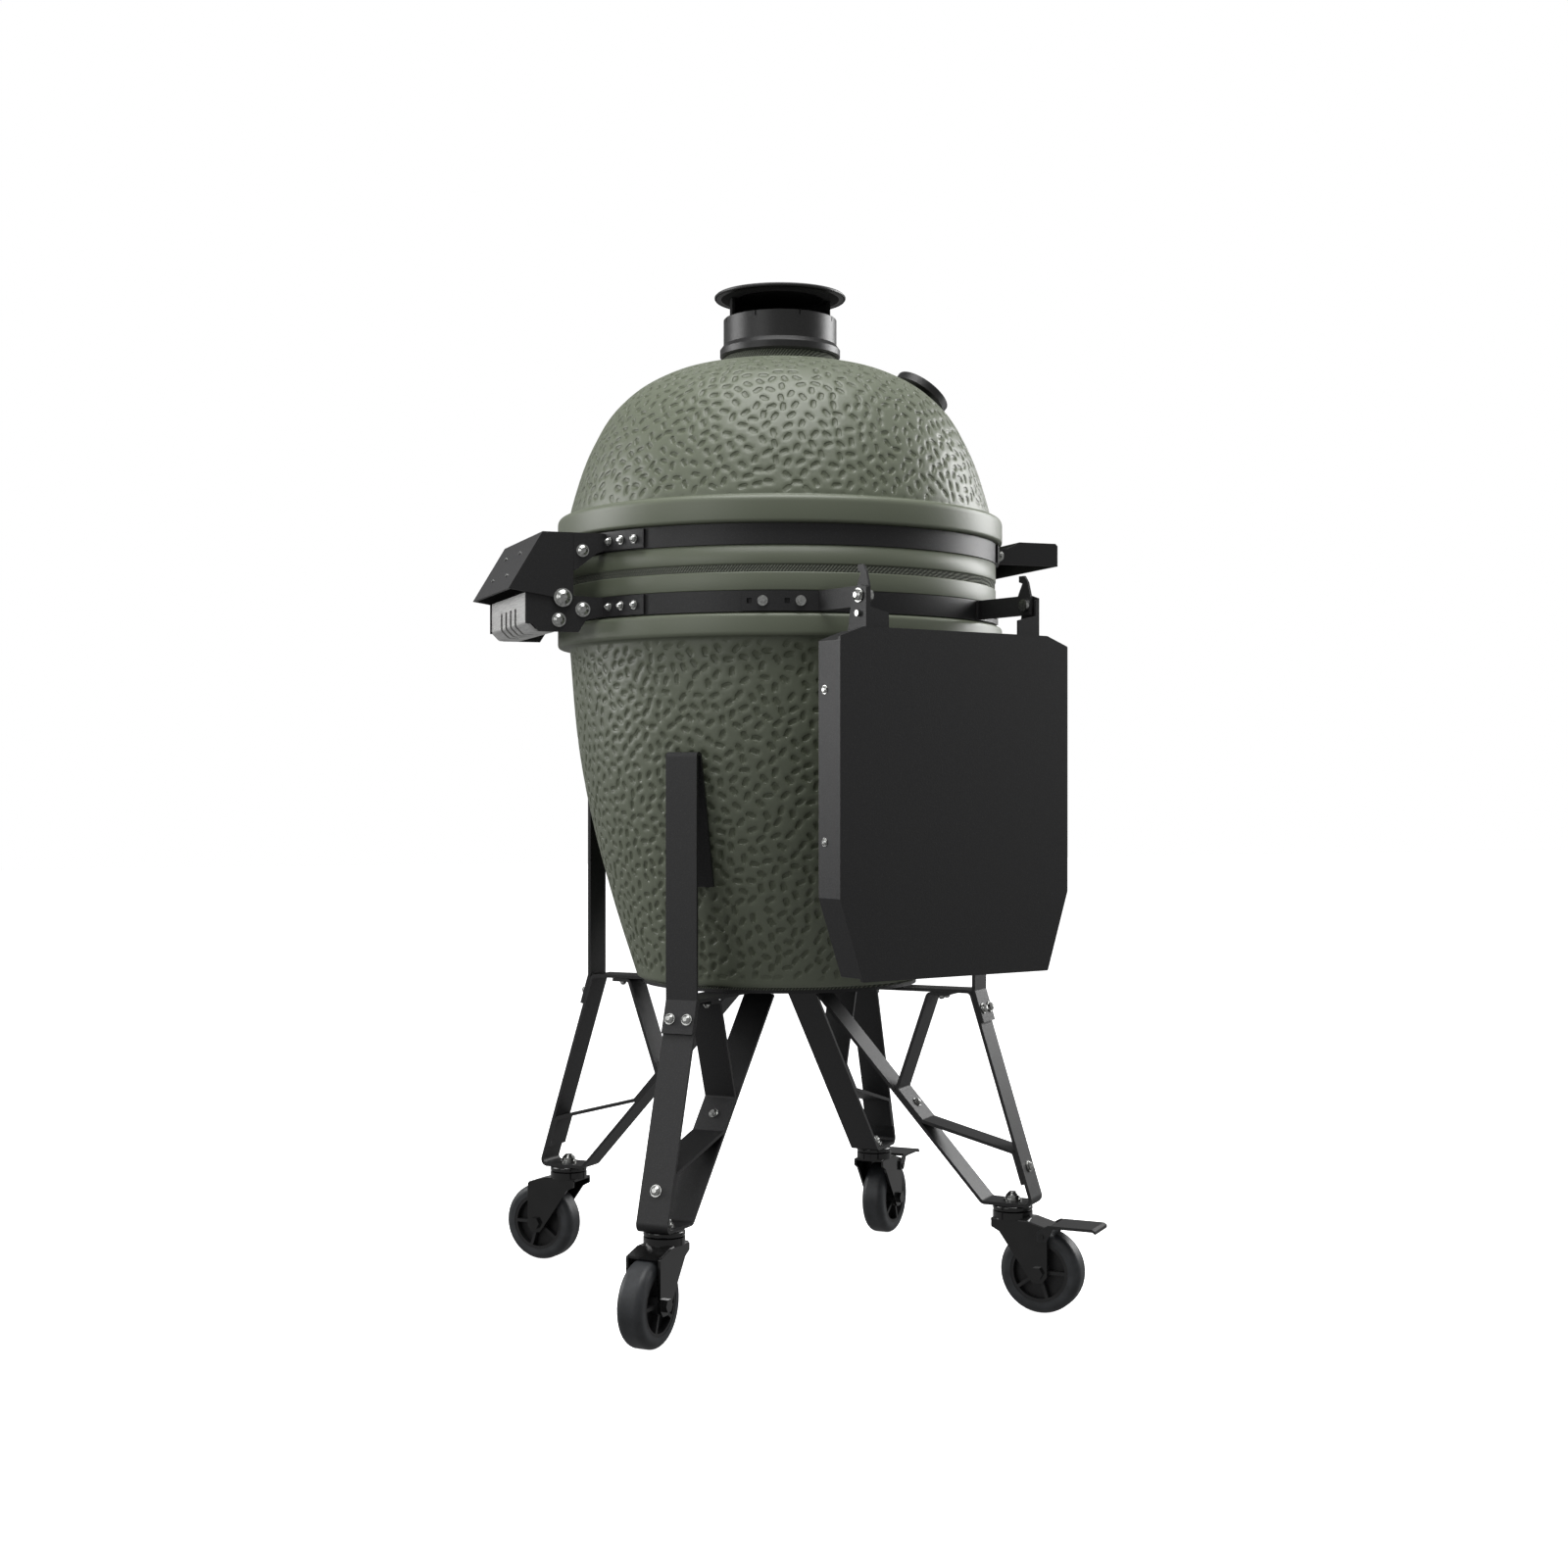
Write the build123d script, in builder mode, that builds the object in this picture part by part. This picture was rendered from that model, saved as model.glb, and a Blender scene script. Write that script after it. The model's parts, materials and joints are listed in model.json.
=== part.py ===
from build123d import *
import os
from math import atan2, cos, degrees, hypot, radians, sin, sqrt

os.makedirs("parts", exist_ok=True)

# Kamado charcoal grill on a four-legged stand with casters. Millimetres, +Z up.
# The origin is on the floor, under the ceramic's vertical axis. The front, with
# the handle and the draft door, faces -Y, and the lid's hinge is at +Y.

# ---- Ceramic body ----
wall_radius = 265.0        # outside of the dome and the bowl where they meet the lips
lip_radius = 280.0
ring_radius = 272.0        # plain ring between a band and the seam
ceramic_wall = 24.0
bowl_bottom = 390.0
bowl_foot = 7.0            # height of the chamfered foot
bowl_lip_bottom = 801.0
bowl_lip_top = 827.0
band_height = 24.0
band_thickness = 3.0
seam_height = 8.0
ring_height = 22.0
lid_lip_height = 32.0
dome_height = 197.0
chimney_radius = 55.0
floor_thickness = 40.0
fit = 0.3                  # clearance between pieces that do not touch
running = 0.05             # radial clearance of a pin in its hole
sheet = 3.0                # thickness of brackets and sheet metal

# Outline of the dome and of the bowl: share of wall_radius, share of the height
dome_shape = ((1.0, 0.0), (0.992, 0.07), (0.94, 0.3), (0.883, 0.477), (0.804, 0.655),
              (0.687, 0.807), (0.551, 0.909), (0.434, 0.959), (0.283, 1.0))
bowl_shape = ((0.687, 0.0), (0.768, 0.166), (0.83, 0.307), (0.883, 0.44),
              (0.934, 0.6), (0.97, 0.765), (1.0, 1.0))

band_radius = ring_radius - 2.0            # inside of both steel bands
base_band_bottom = bowl_lip_top + 2.0
base_rim = base_band_bottom + band_height + ring_height
gasket = seam_height / 2
lid_rim = base_rim + seam_height
lid_band_bottom = lid_rim + ring_height + 1.0
lid_lip_bottom = lid_band_bottom + band_height + 1.0
lid_lip_top = lid_lip_bottom + lid_lip_height
dome_top = lid_lip_top + dome_height
ear_radius = band_radius + band_thickness + 0.2   # inside of brackets on a band

BASE = (Align.CENTER, Align.CENTER, Align.MIN)


def save(builder, name):
    """Label a finished piece and write its file."""
    builder.part.label = name
    export_step(builder.part, f"parts/{name}.step")


def curve(shape, bottom, height):
    """Outline points (radius, z) of a dome or bowl shape."""
    return [(wall_radius * share, bottom + height * rise) for share, rise in shape]


def inward(points, distance):
    """The same outline moved square to itself towards the inside."""
    moved = []
    for i, (r, z) in enumerate(points):
        before, after = points[max(i - 1, 0)], points[min(i + 1, len(points) - 1)]
        dr, dz = after[0] - before[0], after[1] - before[1]
        length = hypot(dr, dz)
        moved.append((r - distance * dz / length, z + distance * dr / length))
    return moved


def radius_at(points, height):
    """Radius of an outline at a height, by straight lines between its points."""
    for (r1, z1), (r2, z2) in zip(points, points[1:]):
        if min(z1, z2) <= height <= max(z1, z2):
            return r1 + (r2 - r1) * (height - z1) / (z2 - z1)
    return points[-1][0]


def ring(inner, outer, bottom, top):
    """Plain upright ring, added to the current part."""
    with BuildSketch(Plane.XY.offset(bottom)) as outline:
        Circle(outer)
        if inner > 0:
            Circle(inner, mode=Mode.SUBTRACT)
    extrude(outline.sketch, amount=top - bottom)


def ear(middle, start, end, bottom, top):
    """Plate bent round a band, from start to end degrees, measured from the
    direction middle in degrees."""
    inner, outer = ear_radius, ear_radius + sheet
    a, b = radians(middle + start), radians(middle + end)
    half = (a + b) / 2
    with BuildSketch(Plane.XY.offset(bottom)) as outline:
        with BuildLine():
            ThreePointArc((inner * cos(a), inner * sin(a)),
                          (inner * cos(half), inner * sin(half)),
                          (inner * cos(b), inner * sin(b)))
            Line((inner * cos(b), inner * sin(b)), (outer * cos(b), outer * sin(b)))
            ThreePointArc((outer * cos(b), outer * sin(b)),
                          (outer * cos(half), outer * sin(half)),
                          (outer * cos(a), outer * sin(a)))
            Line((outer * cos(a), outer * sin(a)), (inner * cos(a), inner * sin(a)))
        make_face()
    extrude(outline.sketch, amount=top - bottom)


def plate(plane, points, thickness, corner=0.0, mode=Mode.ADD):
    """Flat plate with the given outline, standing on the plane."""
    with BuildSketch(plane) as outline:
        with BuildLine():
            Polyline(*points, close=True)
        make_face()
        if corner > 0:
            fillet(outline.vertices(), corner)
    extrude(outline.sketch, amount=thickness, mode=mode)


def pair_of_plates(distance, points, thickness, corner=0.0, mode=Mode.ADD):
    """The same upright plate on both sides of X = 0, outline in Y and Z, with
    its inner face at the given distance."""
    for side in (-1, 1):
        start = distance if side > 0 else -distance - thickness
        plate(Plane.YZ.offset(start), points, thickness, corner, mode)


def dome_head(radius, height):
    """Round bolt head on a washer, at the current locations."""
    washer = height * 0.25
    Cylinder(radius, washer, align=BASE)
    with Locations((0, 0, washer)):
        Cylinder(radius * 0.78, height * 0.35, align=BASE)
    with Locations((0, 0, washer + height * 0.35)):
        Cone(radius * 0.78, radius * 0.4, height * 0.4, align=BASE)


def hex_head(radius, height):
    """Hexagon bolt head on a washer, at the current locations."""
    Cylinder(radius, height * 0.25, align=BASE)
    with Locations((0, 0, height * 0.25)):
        Cylinder(radius * 0.55, height * 0.75, align=BASE)


def on_band(angle, height, radius=None):
    """Plane on the outside of a bracket that lies on a band."""
    radius = radius or ear_radius + sheet
    a = radians(angle)
    return Plane(origin=(radius * cos(a), radius * sin(a), height),
                 z_dir=(cos(a), sin(a), 0))


# ---- Ceramic bowl and lid ----
bowl_outline = curve(bowl_shape, bowl_bottom + bowl_foot, bowl_lip_bottom - bowl_bottom - bowl_foot)
bowl_inside = inward(bowl_outline, ceramic_wall)
bowl_floor = bowl_bottom + floor_thickness
band_seat = band_radius - 0.2
rim_inside = wall_radius - ceramic_wall + 2.0

draft_width, draft_height = 130.0, 45.0
draft_sleeve = 10.0
draft_middle = bowl_floor + draft_sleeve / 2 + draft_height / 2 + 4.0
draft_face = radius_at(bowl_outline, draft_middle + draft_height / 2 + draft_sleeve) + 5.0

with BuildPart() as base_bowl:
    with BuildSketch(Plane.XZ) as section:
        with BuildLine():
            foot = bowl_outline[0]
            Polyline((0, bowl_floor), (0, bowl_bottom), (foot[0] - 4, bowl_bottom), foot)
            Spline(*bowl_outline)
            Polyline(bowl_outline[-1], (lip_radius - 2, bowl_lip_bottom),
                     (lip_radius, bowl_lip_bottom + 4), (lip_radius, bowl_lip_top - 4),
                     (lip_radius - 3, bowl_lip_top), (band_seat, bowl_lip_top),
                     (band_seat, base_band_bottom + band_height + 0.4),
                     (ring_radius, base_band_bottom + band_height + 0.4),
                     (ring_radius, base_rim), (rim_inside, base_rim),
                     (rim_inside, bowl_inside[-1][1]), bowl_inside[-1])
            upper = [p for p in bowl_inside if p[1] > bowl_floor + 5]
            start = (radius_at(bowl_inside, bowl_floor), bowl_floor)
            Spline(*reversed([start] + upper))
            Line(start, (0, bowl_floor))
        make_face()
    revolve(axis=Axis.Z)
    with Locations((0, -draft_face, draft_middle)):
        Box(draft_width + 2 * draft_sleeve + 2 * fit, 2 * (draft_face - 150),
            draft_height + draft_sleeve + 2 * fit, mode=Mode.SUBTRACT)
save(base_bowl, "base_bowl")

dome_outline = curve(dome_shape, lid_lip_top, dome_height)
dome_inside = inward(dome_outline, ceramic_wall)
inner_end = (chimney_radius, dome_inside[-1][1])

# Thermometer: its axis stands square on the front of the dome
gauge_share = 5
gauge_foot = dome_outline[gauge_share]
before, after = dome_outline[gauge_share - 1], dome_outline[gauge_share + 1]
gauge_tilt = atan2(before[0] - after[0], after[1] - before[1])   # from level to the axis
gauge_plane = Plane(origin=(0, -gauge_foot[0], gauge_foot[1]), x_dir=(1, 0, 0),
                    z_dir=(0, -cos(gauge_tilt), sin(gauge_tilt)))
stem_radius = 5.0

with BuildPart() as lid_dome:
    with BuildSketch(Plane.XZ) as section:
        with BuildLine():
            Polyline(dome_outline[0], (lip_radius - 8, lid_lip_top),
                     (lip_radius - 2.5, lid_lip_top - 2.5), (lip_radius, lid_lip_top - 8),
                     (lip_radius, lid_lip_bottom + 2), (lip_radius - 2, lid_lip_bottom),
                     (band_seat, lid_lip_bottom), (band_seat, lid_band_bottom - 0.4),
                     (ring_radius, lid_band_bottom - 0.4), (ring_radius, lid_rim),
                     (rim_inside, lid_rim), dome_inside[0])
            Spline(*dome_inside[:-1], inner_end)
            Polyline(inner_end, (chimney_radius, dome_top), dome_outline[-1])
            Spline(*dome_outline)
        make_face()
    revolve(axis=Axis.Z)
    with Locations(gauge_plane.offset(-2 * ceramic_wall)):
        Cylinder(stem_radius + fit, 4 * ceramic_wall, align=BASE, mode=Mode.SUBTRACT)
save(lid_dome, "lid_dome")

for name, bottom, top in (("lid_gasket", base_rim + gasket, lid_rim),
                          ("base_gasket", base_rim, base_rim + gasket - fit)):
    with BuildPart() as felt:
        ring(rim_inside + 2, ring_radius - 1, bottom, top)
    save(felt, name)

for name, bottom in (("lid_band", lid_band_bottom), ("base_band", base_band_bottom)):
    with BuildPart() as band:
        ring(band_radius, band_radius + band_thickness, bottom, bottom + band_height)
    save(band, name)

# ---- Rear spring hinge ----
cheek_plane = 98.0                        # inside of the lid's hinge cheeks
hinge_y, hinge_z = 308.0, 851.0
pin_radius = 4.0
ear_angles = (18.0, 35.0)
ear_bolts = (23.3, 27.7, 32.1)
band_back = sqrt((ear_radius) ** 2 - cheek_plane ** 2) + 1.5
lid_ear_bottom, lid_ear_top = lid_band_bottom + 1.0, lid_band_bottom + band_height - 1.0
base_ear_bottom, base_ear_top = base_band_bottom + 0.5, base_band_bottom + band_height - 0.5
hood_front, hood_top, hood_ridge = 295.0, lid_ear_top - 1.0, 332.0
hood_tail_y, hood_tail_z = 372.7, hinge_z + 9.0
hood_slope = (hood_tail_y - hood_ridge) / (hood_top - hood_tail_z)
lug_radius = 11.0
upper_bolt = (284.0, 907.0)

with BuildPart() as lid_hinge_bracket:
    for side in (-1, 1):
        ear(90, *(side * a for a in ear_angles), lid_ear_bottom, lid_ear_top)
    pair_of_plates(cheek_plane, [(band_back, hood_top), (hood_front - fit, hood_top),
                                 (hood_front - fit, 884), (292, 884), (267, 904),
                                 (band_back, lid_ear_bottom + 1)], sheet)
save(lid_hinge_bracket, "lid_hinge_bracket")

with BuildPart() as hinge_hood:
    width = cheek_plane + sheet
    outer = [(hood_front, hood_top), (hood_ridge, hood_top), (hood_tail_y, hood_tail_z),
             (hinge_y + 2, hinge_z - 1), (hood_front, hinge_z - 1)]
    plate(Plane.YZ.offset(-width), outer, 2 * width)
    inner_ridge = hood_ridge - sheet * 0.57
    drop = hood_top - sheet - (hinge_z - 40)
    inner = [(hood_front - 20, hood_top - sheet), (inner_ridge, hood_top - sheet),
             (inner_ridge + drop * hood_slope, hinge_z - 40), (hood_front - 20, hinge_z - 40)]
    plate(Plane.YZ.offset(-cheek_plane), inner, 2 * cheek_plane, mode=Mode.SUBTRACT)
    pair_of_plates(cheek_plane - sheet, [(270, hood_top), (hood_front + 6, hood_top),
                                         (hood_front + 6, 890), (276, 900), (270, 904)], sheet)
    for side in (-1, 1):
        with Locations(Plane.YZ * Location((hinge_y, hinge_z, side * (width - sheet / 2)))):
            Cylinder(lug_radius, sheet)
    with Locations(Plane.YZ * Location((hinge_y, hinge_z, 0))):
        Cylinder(pin_radius + running, 2 * width + 10, mode=Mode.SUBTRACT)
save(hinge_hood, "hinge_hood")

base_cheek = cheek_plane - sheet - 0.4    # inside of the fixed cheeks
guard_y = 350.0
cheek_outline = [(351.5, 857), (351.5, 820), (344, 820), (335, 811), (288, 811), (279, 825),
                 (267, base_ear_bottom), (band_back, base_ear_bottom),
                 (band_back, base_ear_top), (267, base_ear_top)]

with BuildPart() as base_hinge_bracket:
    for side in (-1, 1):
        ear(90, *(side * a for a in ear_angles), base_ear_bottom, base_ear_top)
    pair_of_plates(base_cheek, cheek_outline, sheet)
    with Locations(Plane.YZ * Location((hinge_y, hinge_z, 0))):
        Cylinder(pin_radius + running, 3 * cheek_plane, mode=Mode.SUBTRACT)
save(base_hinge_bracket, "base_hinge_bracket")

with BuildPart() as hinge_pin:
    reach = cheek_plane + sheet + fit
    with Locations(Plane.YZ * Location((hinge_y, hinge_z, 0))):
        Cylinder(pin_radius, 2 * reach)
    for side in (-1, 1):
        with Locations(Plane(origin=(side * reach, hinge_y, hinge_z), z_dir=(side, 0, 0))):
            dome_head(lug_radius, 6)
save(hinge_pin, "hinge_pin")

spring_wire, spring_radius, spring_turns = 4.5, 10.0, 9
spring_gap = 12.0
with BuildPart() as hinge_springs:
    pitch = spring_wire + 0.6
    for start in (spring_gap, -spring_gap - spring_turns * pitch):
        with BuildLine() as coil:
            Helix(pitch=pitch, height=spring_turns * pitch, radius=spring_radius,
                  center=(start, hinge_y, hinge_z), direction=(1, 0, 0))
        with BuildSketch(Plane(origin=coil.line @ 0, z_dir=coil.line % 0)) as wire:
            Circle(spring_wire / 2)
        sweep(wire.sketch, path=coil.line, is_frenet=True)
save(hinge_springs, "hinge_springs")

guard_half = base_cheek - fit
with BuildPart() as spring_guard:
    with BuildSketch(Plane.YZ.offset(-guard_half)) as section:
        with BuildLine():
            FilletPolyline((guard_y - 1.5, 857), (guard_y - 1.5, 821), (guard_y - 10, 812.5),
                           (guard_y - 34, 812.5), radius=4)
        trace(line_width=sheet)
    extrude(section.sketch, amount=2 * guard_half)
    slot_width, slot_pitch = 9.0, 25.0
    with Locations(*((slot_pitch * (i - 1.5), guard_y - 2, 826) for i in range(4))):
        Box(slot_width, 40, 30, mode=Mode.SUBTRACT)
save(spring_guard, "spring_guard")

# Bolts of the hinge and of both tables' band brackets, all fixed to the base
with BuildPart() as base_bolts:
    for side in (-1, 1):
        for angle in ear_bolts:
            with Locations(on_band(90 + side * angle, base_band_bottom + band_height / 2)):
                dome_head(5.2, 6)
        for y, z, radius in ((283, 838, 9), (312, 825, 8.5)):
            face = Plane(origin=(side * (base_cheek + sheet), y, z), z_dir=(side, 0, 0))
            with Locations(face):
                dome_head(radius, 4.5)
# ---- Front handle ----
handle_reach, handle_half, handle_drop = 342.0, 95.0, 29.0
handle_corner = 3.0
handle_bottom = lid_band_bottom + 4.0
handle_top = handle_bottom + handle_drop
handle_back = sqrt(ear_radius ** 2 - (handle_half + sheet) ** 2) + 3.5
handle_ear = (18.5, 31.0)
handle_bolts = (23.0, 28.0)

with BuildPart() as front_handle:
    shelf = -lip_radius - 8.0
    cheek = [(-handle_reach, handle_bottom), (-handle_back, handle_bottom),
             (-handle_back, lid_lip_bottom - 1.5), (-handle_back - 12, lid_lip_bottom - 1.5),
             (shelf, handle_top), (-handle_reach + handle_corner, handle_top),
             (-handle_reach, handle_top - handle_corner)]
    pair_of_plates(handle_half, cheek, sheet)
    with BuildSketch(Plane.YZ.offset(-handle_half - 1)) as section:
        with BuildLine():
            FilletPolyline((-handle_reach + sheet / 2, handle_bottom),
                           (-handle_reach + sheet / 2, handle_top - sheet / 2),
                           (shelf, handle_top - sheet / 2), radius=handle_corner)
        trace(line_width=sheet)
    extrude(section.sketch, amount=2 * handle_half + 2)
    for side in (-1, 1):
        ear(-90, *(side * a for a in handle_ear), lid_ear_bottom, lid_ear_top)
save(front_handle, "front_handle")

with BuildPart() as lid_bolts:
    middle = lid_band_bottom + band_height / 2
    for side in (-1, 1):
        for angle in ear_bolts:
            with Locations(on_band(90 + side * angle, middle)):
                dome_head(5.2, 6)
        for angle in handle_bolts:
            with Locations(on_band(-90 + side * angle, middle)):
                dome_head(6, 6)
        face = Plane(origin=(side * (cheek_plane + sheet), *upper_bolt), z_dir=(side, 0, 0))
        with Locations(face):
            dome_head(7.5, 5)
    lean = atan2(1, hood_slope)
    for share in (0.3, 0.7):
        y = hood_ridge + share * (hood_tail_y - hood_ridge)
        z = hood_top - share * (hood_top - hood_tail_z)
        for x in (-38, 38):
            with Locations(Plane(origin=(x, y, z), z_dir=(0, sin(lean), cos(lean)))):
                Cylinder(2.5, 1.6, align=BASE)
save(lid_bolts, "lid_bolts")

# ---- Vent on top of the dome ----
vent_bore, vent_sleeve, vent_flange = 64.0, 71.5, 76.0
vent_gasket_height, vent_flange_height, vent_sleeve_height = 10.0, 11.0, 38.0
neck_wall, neck_height, disc_radius, disc_thickness = 3.5, 54.0, 83.0, 5.0
vent_gap = 25.0                            # height of the window when unscrewed
vent_notches, window_start, window_sweep = 8, 89.0, 161.0
flange_bottom = dome_top + vent_gasket_height
sleeve_top = flange_bottom + vent_flange_height + vent_sleeve_height

with BuildPart() as vent_gasket:
    ring(vent_bore + 2, vent_sleeve - 1, dome_top, flange_bottom)
save(vent_gasket, "vent_gasket")

with BuildPart() as vent_collar:
    shoulder = flange_bottom + vent_flange_height
    with BuildSketch(Plane.XZ):
        with BuildLine():
            Polyline((vent_bore, flange_bottom + 3), (vent_bore + 3, flange_bottom),
                     (vent_flange - 2, flange_bottom), (vent_flange, flange_bottom + 2),
                     (vent_flange, shoulder - 1), (vent_sleeve, shoulder + 5),
                     (vent_sleeve, sleeve_top - 1), (vent_sleeve - 1, sleeve_top),
                     (vent_bore, sleeve_top), close=True)
        make_face()
    revolve(axis=Axis.Z)
    with PolarLocations(vent_sleeve, vent_notches):
        with Locations((0, 0, sleeve_top)):
            Box(5, 1.8, 14, mode=Mode.SUBTRACT)
save(vent_collar, "vent_collar")

neck_radius = vent_bore - 0.4
disc_bottom = sleeve_top + vent_gap
with BuildPart() as vent_cap:
    ring(neck_radius - neck_wall, neck_radius, disc_bottom - neck_height, disc_bottom + 1)
    start = radians(window_start)
    section = Plane(origin=(0, 0, 0), x_dir=(cos(start), sin(start), 0),
                    z_dir=(sin(start), -cos(start), 0))
    with BuildSketch(section):
        with Locations((neck_radius, disc_bottom - vent_gap / 2)):
            Rectangle(4 * neck_wall, vent_gap)
    revolve(axis=Axis.Z, revolution_arc=window_sweep, mode=Mode.SUBTRACT)
    with BuildSketch(Plane.XZ):
        with BuildLine():
            top = disc_bottom + disc_thickness
            Polyline((0, disc_bottom + 1.5), (neck_radius - 12, disc_bottom + 1.5),
                     (neck_radius - 8, disc_bottom), (neck_radius + 2, disc_bottom),
                     (disc_radius - 4, disc_bottom + 1.5), (disc_radius - 1, disc_bottom + 0.6),
                     (disc_radius, disc_bottom + 2), (disc_radius, top - 1.5),
                     (disc_radius - 1.5, top), (0, top), close=True)
        make_face()
    revolve(axis=Axis.Z)
save(vent_cap, "vent_cap")

# ---- Thermometer ----
gauge_radius, gauge_depth, gauge_standoff = 38.0, 10.0, 15.0
gauge_rim = 3.0
with BuildPart() as thermometer_case:
    with Locations(gauge_plane.offset(-2 * ceramic_wall)):
        Cylinder(stem_radius, gauge_standoff + 2 * ceramic_wall, align=BASE)
    with Locations(gauge_plane.offset(gauge_standoff)):
        Cylinder(gauge_radius, gauge_depth, align=BASE)
    with Locations(gauge_plane.offset(gauge_standoff + 2)):
        Cylinder(gauge_radius - gauge_rim, gauge_depth, align=BASE, mode=Mode.SUBTRACT)
    with Locations(gauge_plane.offset(gauge_standoff - 7)):
        Cylinder(14, 7, align=BASE)
save(thermometer_case, "thermometer_case")

dial_radius = gauge_radius - gauge_rim - 0.2
dial_base = gauge_standoff + 2
with BuildPart() as thermometer_dial:
    with Locations(gauge_plane.offset(dial_base)):
        Cylinder(dial_radius, 1, align=BASE)
        Cylinder(1.4, 3.5, align=BASE)
save(thermometer_dial, "thermometer_dial")

with BuildPart() as thermometer_needle:
    lift = gauge_plane.offset(dial_base + 1.5)
    plate(lift, [(-3, -8), (3, -8), (0.8, 27), (-0.8, 27)], 1)
    with Locations(lift):
        Cylinder(4, 1, align=BASE)
        Cylinder(1.4 + running, 4, mode=Mode.SUBTRACT)
save(thermometer_needle, "thermometer_needle")

with BuildPart() as thermometer_glass:
    with Locations(gauge_plane.offset(gauge_standoff + gauge_depth - 2.5)):
        Cylinder(dial_radius, 1.5, align=BASE)
save(thermometer_glass, "thermometer_glass")

# ---- Inside the bowl ----
fire_top, fire_wall, ash_hole = 640.0, 16.0, 90.0
fire_gap = 8.0
fire_bowl_top = radius_at(bowl_inside, fire_top) - fire_gap
fire_bowl_foot = radius_at(bowl_inside, bowl_floor + 2) - fire_gap - 2
with BuildPart() as fire_bowl:
    with BuildSketch(Plane.XZ):
        with BuildLine():
            Polyline((ash_hole, bowl_floor), (fire_bowl_foot - 3, bowl_floor),
                     (fire_bowl_foot, bowl_floor + 6), (fire_bowl_top, fire_top),
                     (fire_bowl_top - fire_wall, fire_top),
                     (fire_bowl_foot - fire_wall, bowl_floor + fire_wall),
                     (ash_hole, bowl_floor + fire_wall), close=True)
        make_face()
    revolve(axis=Axis.Z)
    with Locations((0, -fire_bowl_top, draft_middle)):
        Box(90, 2 * (fire_bowl_top - ash_hole), draft_height, mode=Mode.SUBTRACT)
save(fire_bowl, "fire_bowl")

grate_bar = 6.0
with BuildPart() as charcoal_grate:
    bottom = bowl_floor + fire_wall
    ring(0, ash_hole + 14, bottom, bottom + 8)
    with BuildSketch(Plane.XY.offset(bottom)) as holes:
        with GridLocations(24, 24, 7, 7):
            Circle(8)
        Circle(ash_hole - 4, mode=Mode.INTERSECT)
    extrude(holes.sketch, amount=8, mode=Mode.SUBTRACT)
save(charcoal_grate, "charcoal_grate")

grate_height = bowl_lip_bottom - 4.0
fire_ring_radius = fire_bowl_top - 1
with BuildPart() as fire_ring:
    ring(fire_ring_radius - 14, fire_ring_radius, fire_top, grate_height)
save(fire_ring, "fire_ring")

grate_radius, grate_pitch = 228.0, 22.0
with BuildPart() as cooking_grate:
    ring(grate_radius - grate_bar, grate_radius, grate_height, grate_height + grate_bar)
    with BuildSketch(Plane.XY.offset(grate_height)) as bars:
        with GridLocations(grate_pitch, 1, 19, 1):
            Rectangle(5, 2 * grate_radius)
        Rectangle(2 * grate_radius, 8)
        Circle(grate_radius - 1, mode=Mode.INTERSECT)
    extrude(bars.sketch, amount=grate_bar)
save(cooking_grate, "cooking_grate")

# ---- Draft door at the front of the bowl ----
door_thickness = 2.0
door_half, door_travel = draft_width / 2 + 4, 100.0
sleeve_start = radius_at(bowl_inside, draft_middle) - 1
with BuildPart() as draft_frame:
    with BuildSketch(Plane.XZ.offset(sleeve_start)) as sleeve:
        with Locations((0, draft_middle)):
            Rectangle(draft_width + 2 * draft_sleeve, draft_height + draft_sleeve)
            Rectangle(draft_width, draft_height, mode=Mode.SUBTRACT)
    extrude(sleeve.sketch, amount=draft_face - sleeve_start)
    rail_length = 2 * door_half + door_travel
    for edge in (-1, 1):
        z = draft_middle + edge * (draft_height / 2 + draft_sleeve / 2 - 1)
        with Locations((door_travel / 2, -draft_face - (door_thickness + 2) / 2, z)):
            Box(rail_length, door_thickness + 2, 2)
        lip_z = z - edge * 1.5
        with Locations((door_travel / 2, -draft_face - door_thickness - 1.5, lip_z)):
            Box(rail_length, 1.5, 5)
save(draft_frame, "draft_frame")

with BuildPart() as draft_door:
    height = draft_height + draft_sleeve - 2 * (2 + 0.7)
    with Locations((0, -draft_face - 0.35 - 0.5, draft_middle)):
        Box(2 * door_half, 1, height)
    with Locations((door_half - 25, -draft_face - 1.2 - 9, draft_middle)):
        Box(6, 18, 24)
save(draft_door, "draft_door")

# ---- Fold-down side tables ----
table_angle = 15.0                        # turned towards the front
table_face, table_half = 353.0, 166.5
table_bottom, table_top, table_waist, table_taper = 414.0, 805.0, 506.0, 31.0
panel_thickness, tray_gap, tray_back = 3.5, 2.0, 309.0
tray_sheet = 2.0
arm_side, arm_width, arm_top = 127.0, 32.0, 849.0
table_pivot_d = 335.0
table_pivot_z = base_band_bottom + band_height / 2
leg_side = 120.0                          # outside of the band brackets' legs
hook_top = 876.0
bracket_span = (26.0, 44.0)
bracket_bolts = (30.0, 39.0)
tray_face = table_face - panel_thickness - tray_gap


def table_outline(inset):
    """Outline of a table, drawn square to its face."""
    w, low = table_half - inset, table_half - table_taper - inset
    return [(-low, table_bottom + inset), (low, table_bottom + inset), (w, table_waist),
            (w, table_top - 11.5 - inset), (w - 32, table_top - inset),
            (-w + 32, table_top - inset), (-w, table_top - 11.5 - inset), (-w, table_waist)]


def side_plane(face, s):
    """Plane square to a table's hinge line, at s along it: x outwards, y up."""
    return Plane(origin=face.x_dir * s, x_dir=face.z_dir, z_dir=face.z_dir.cross(Vector(0, 0, 1)))


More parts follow.
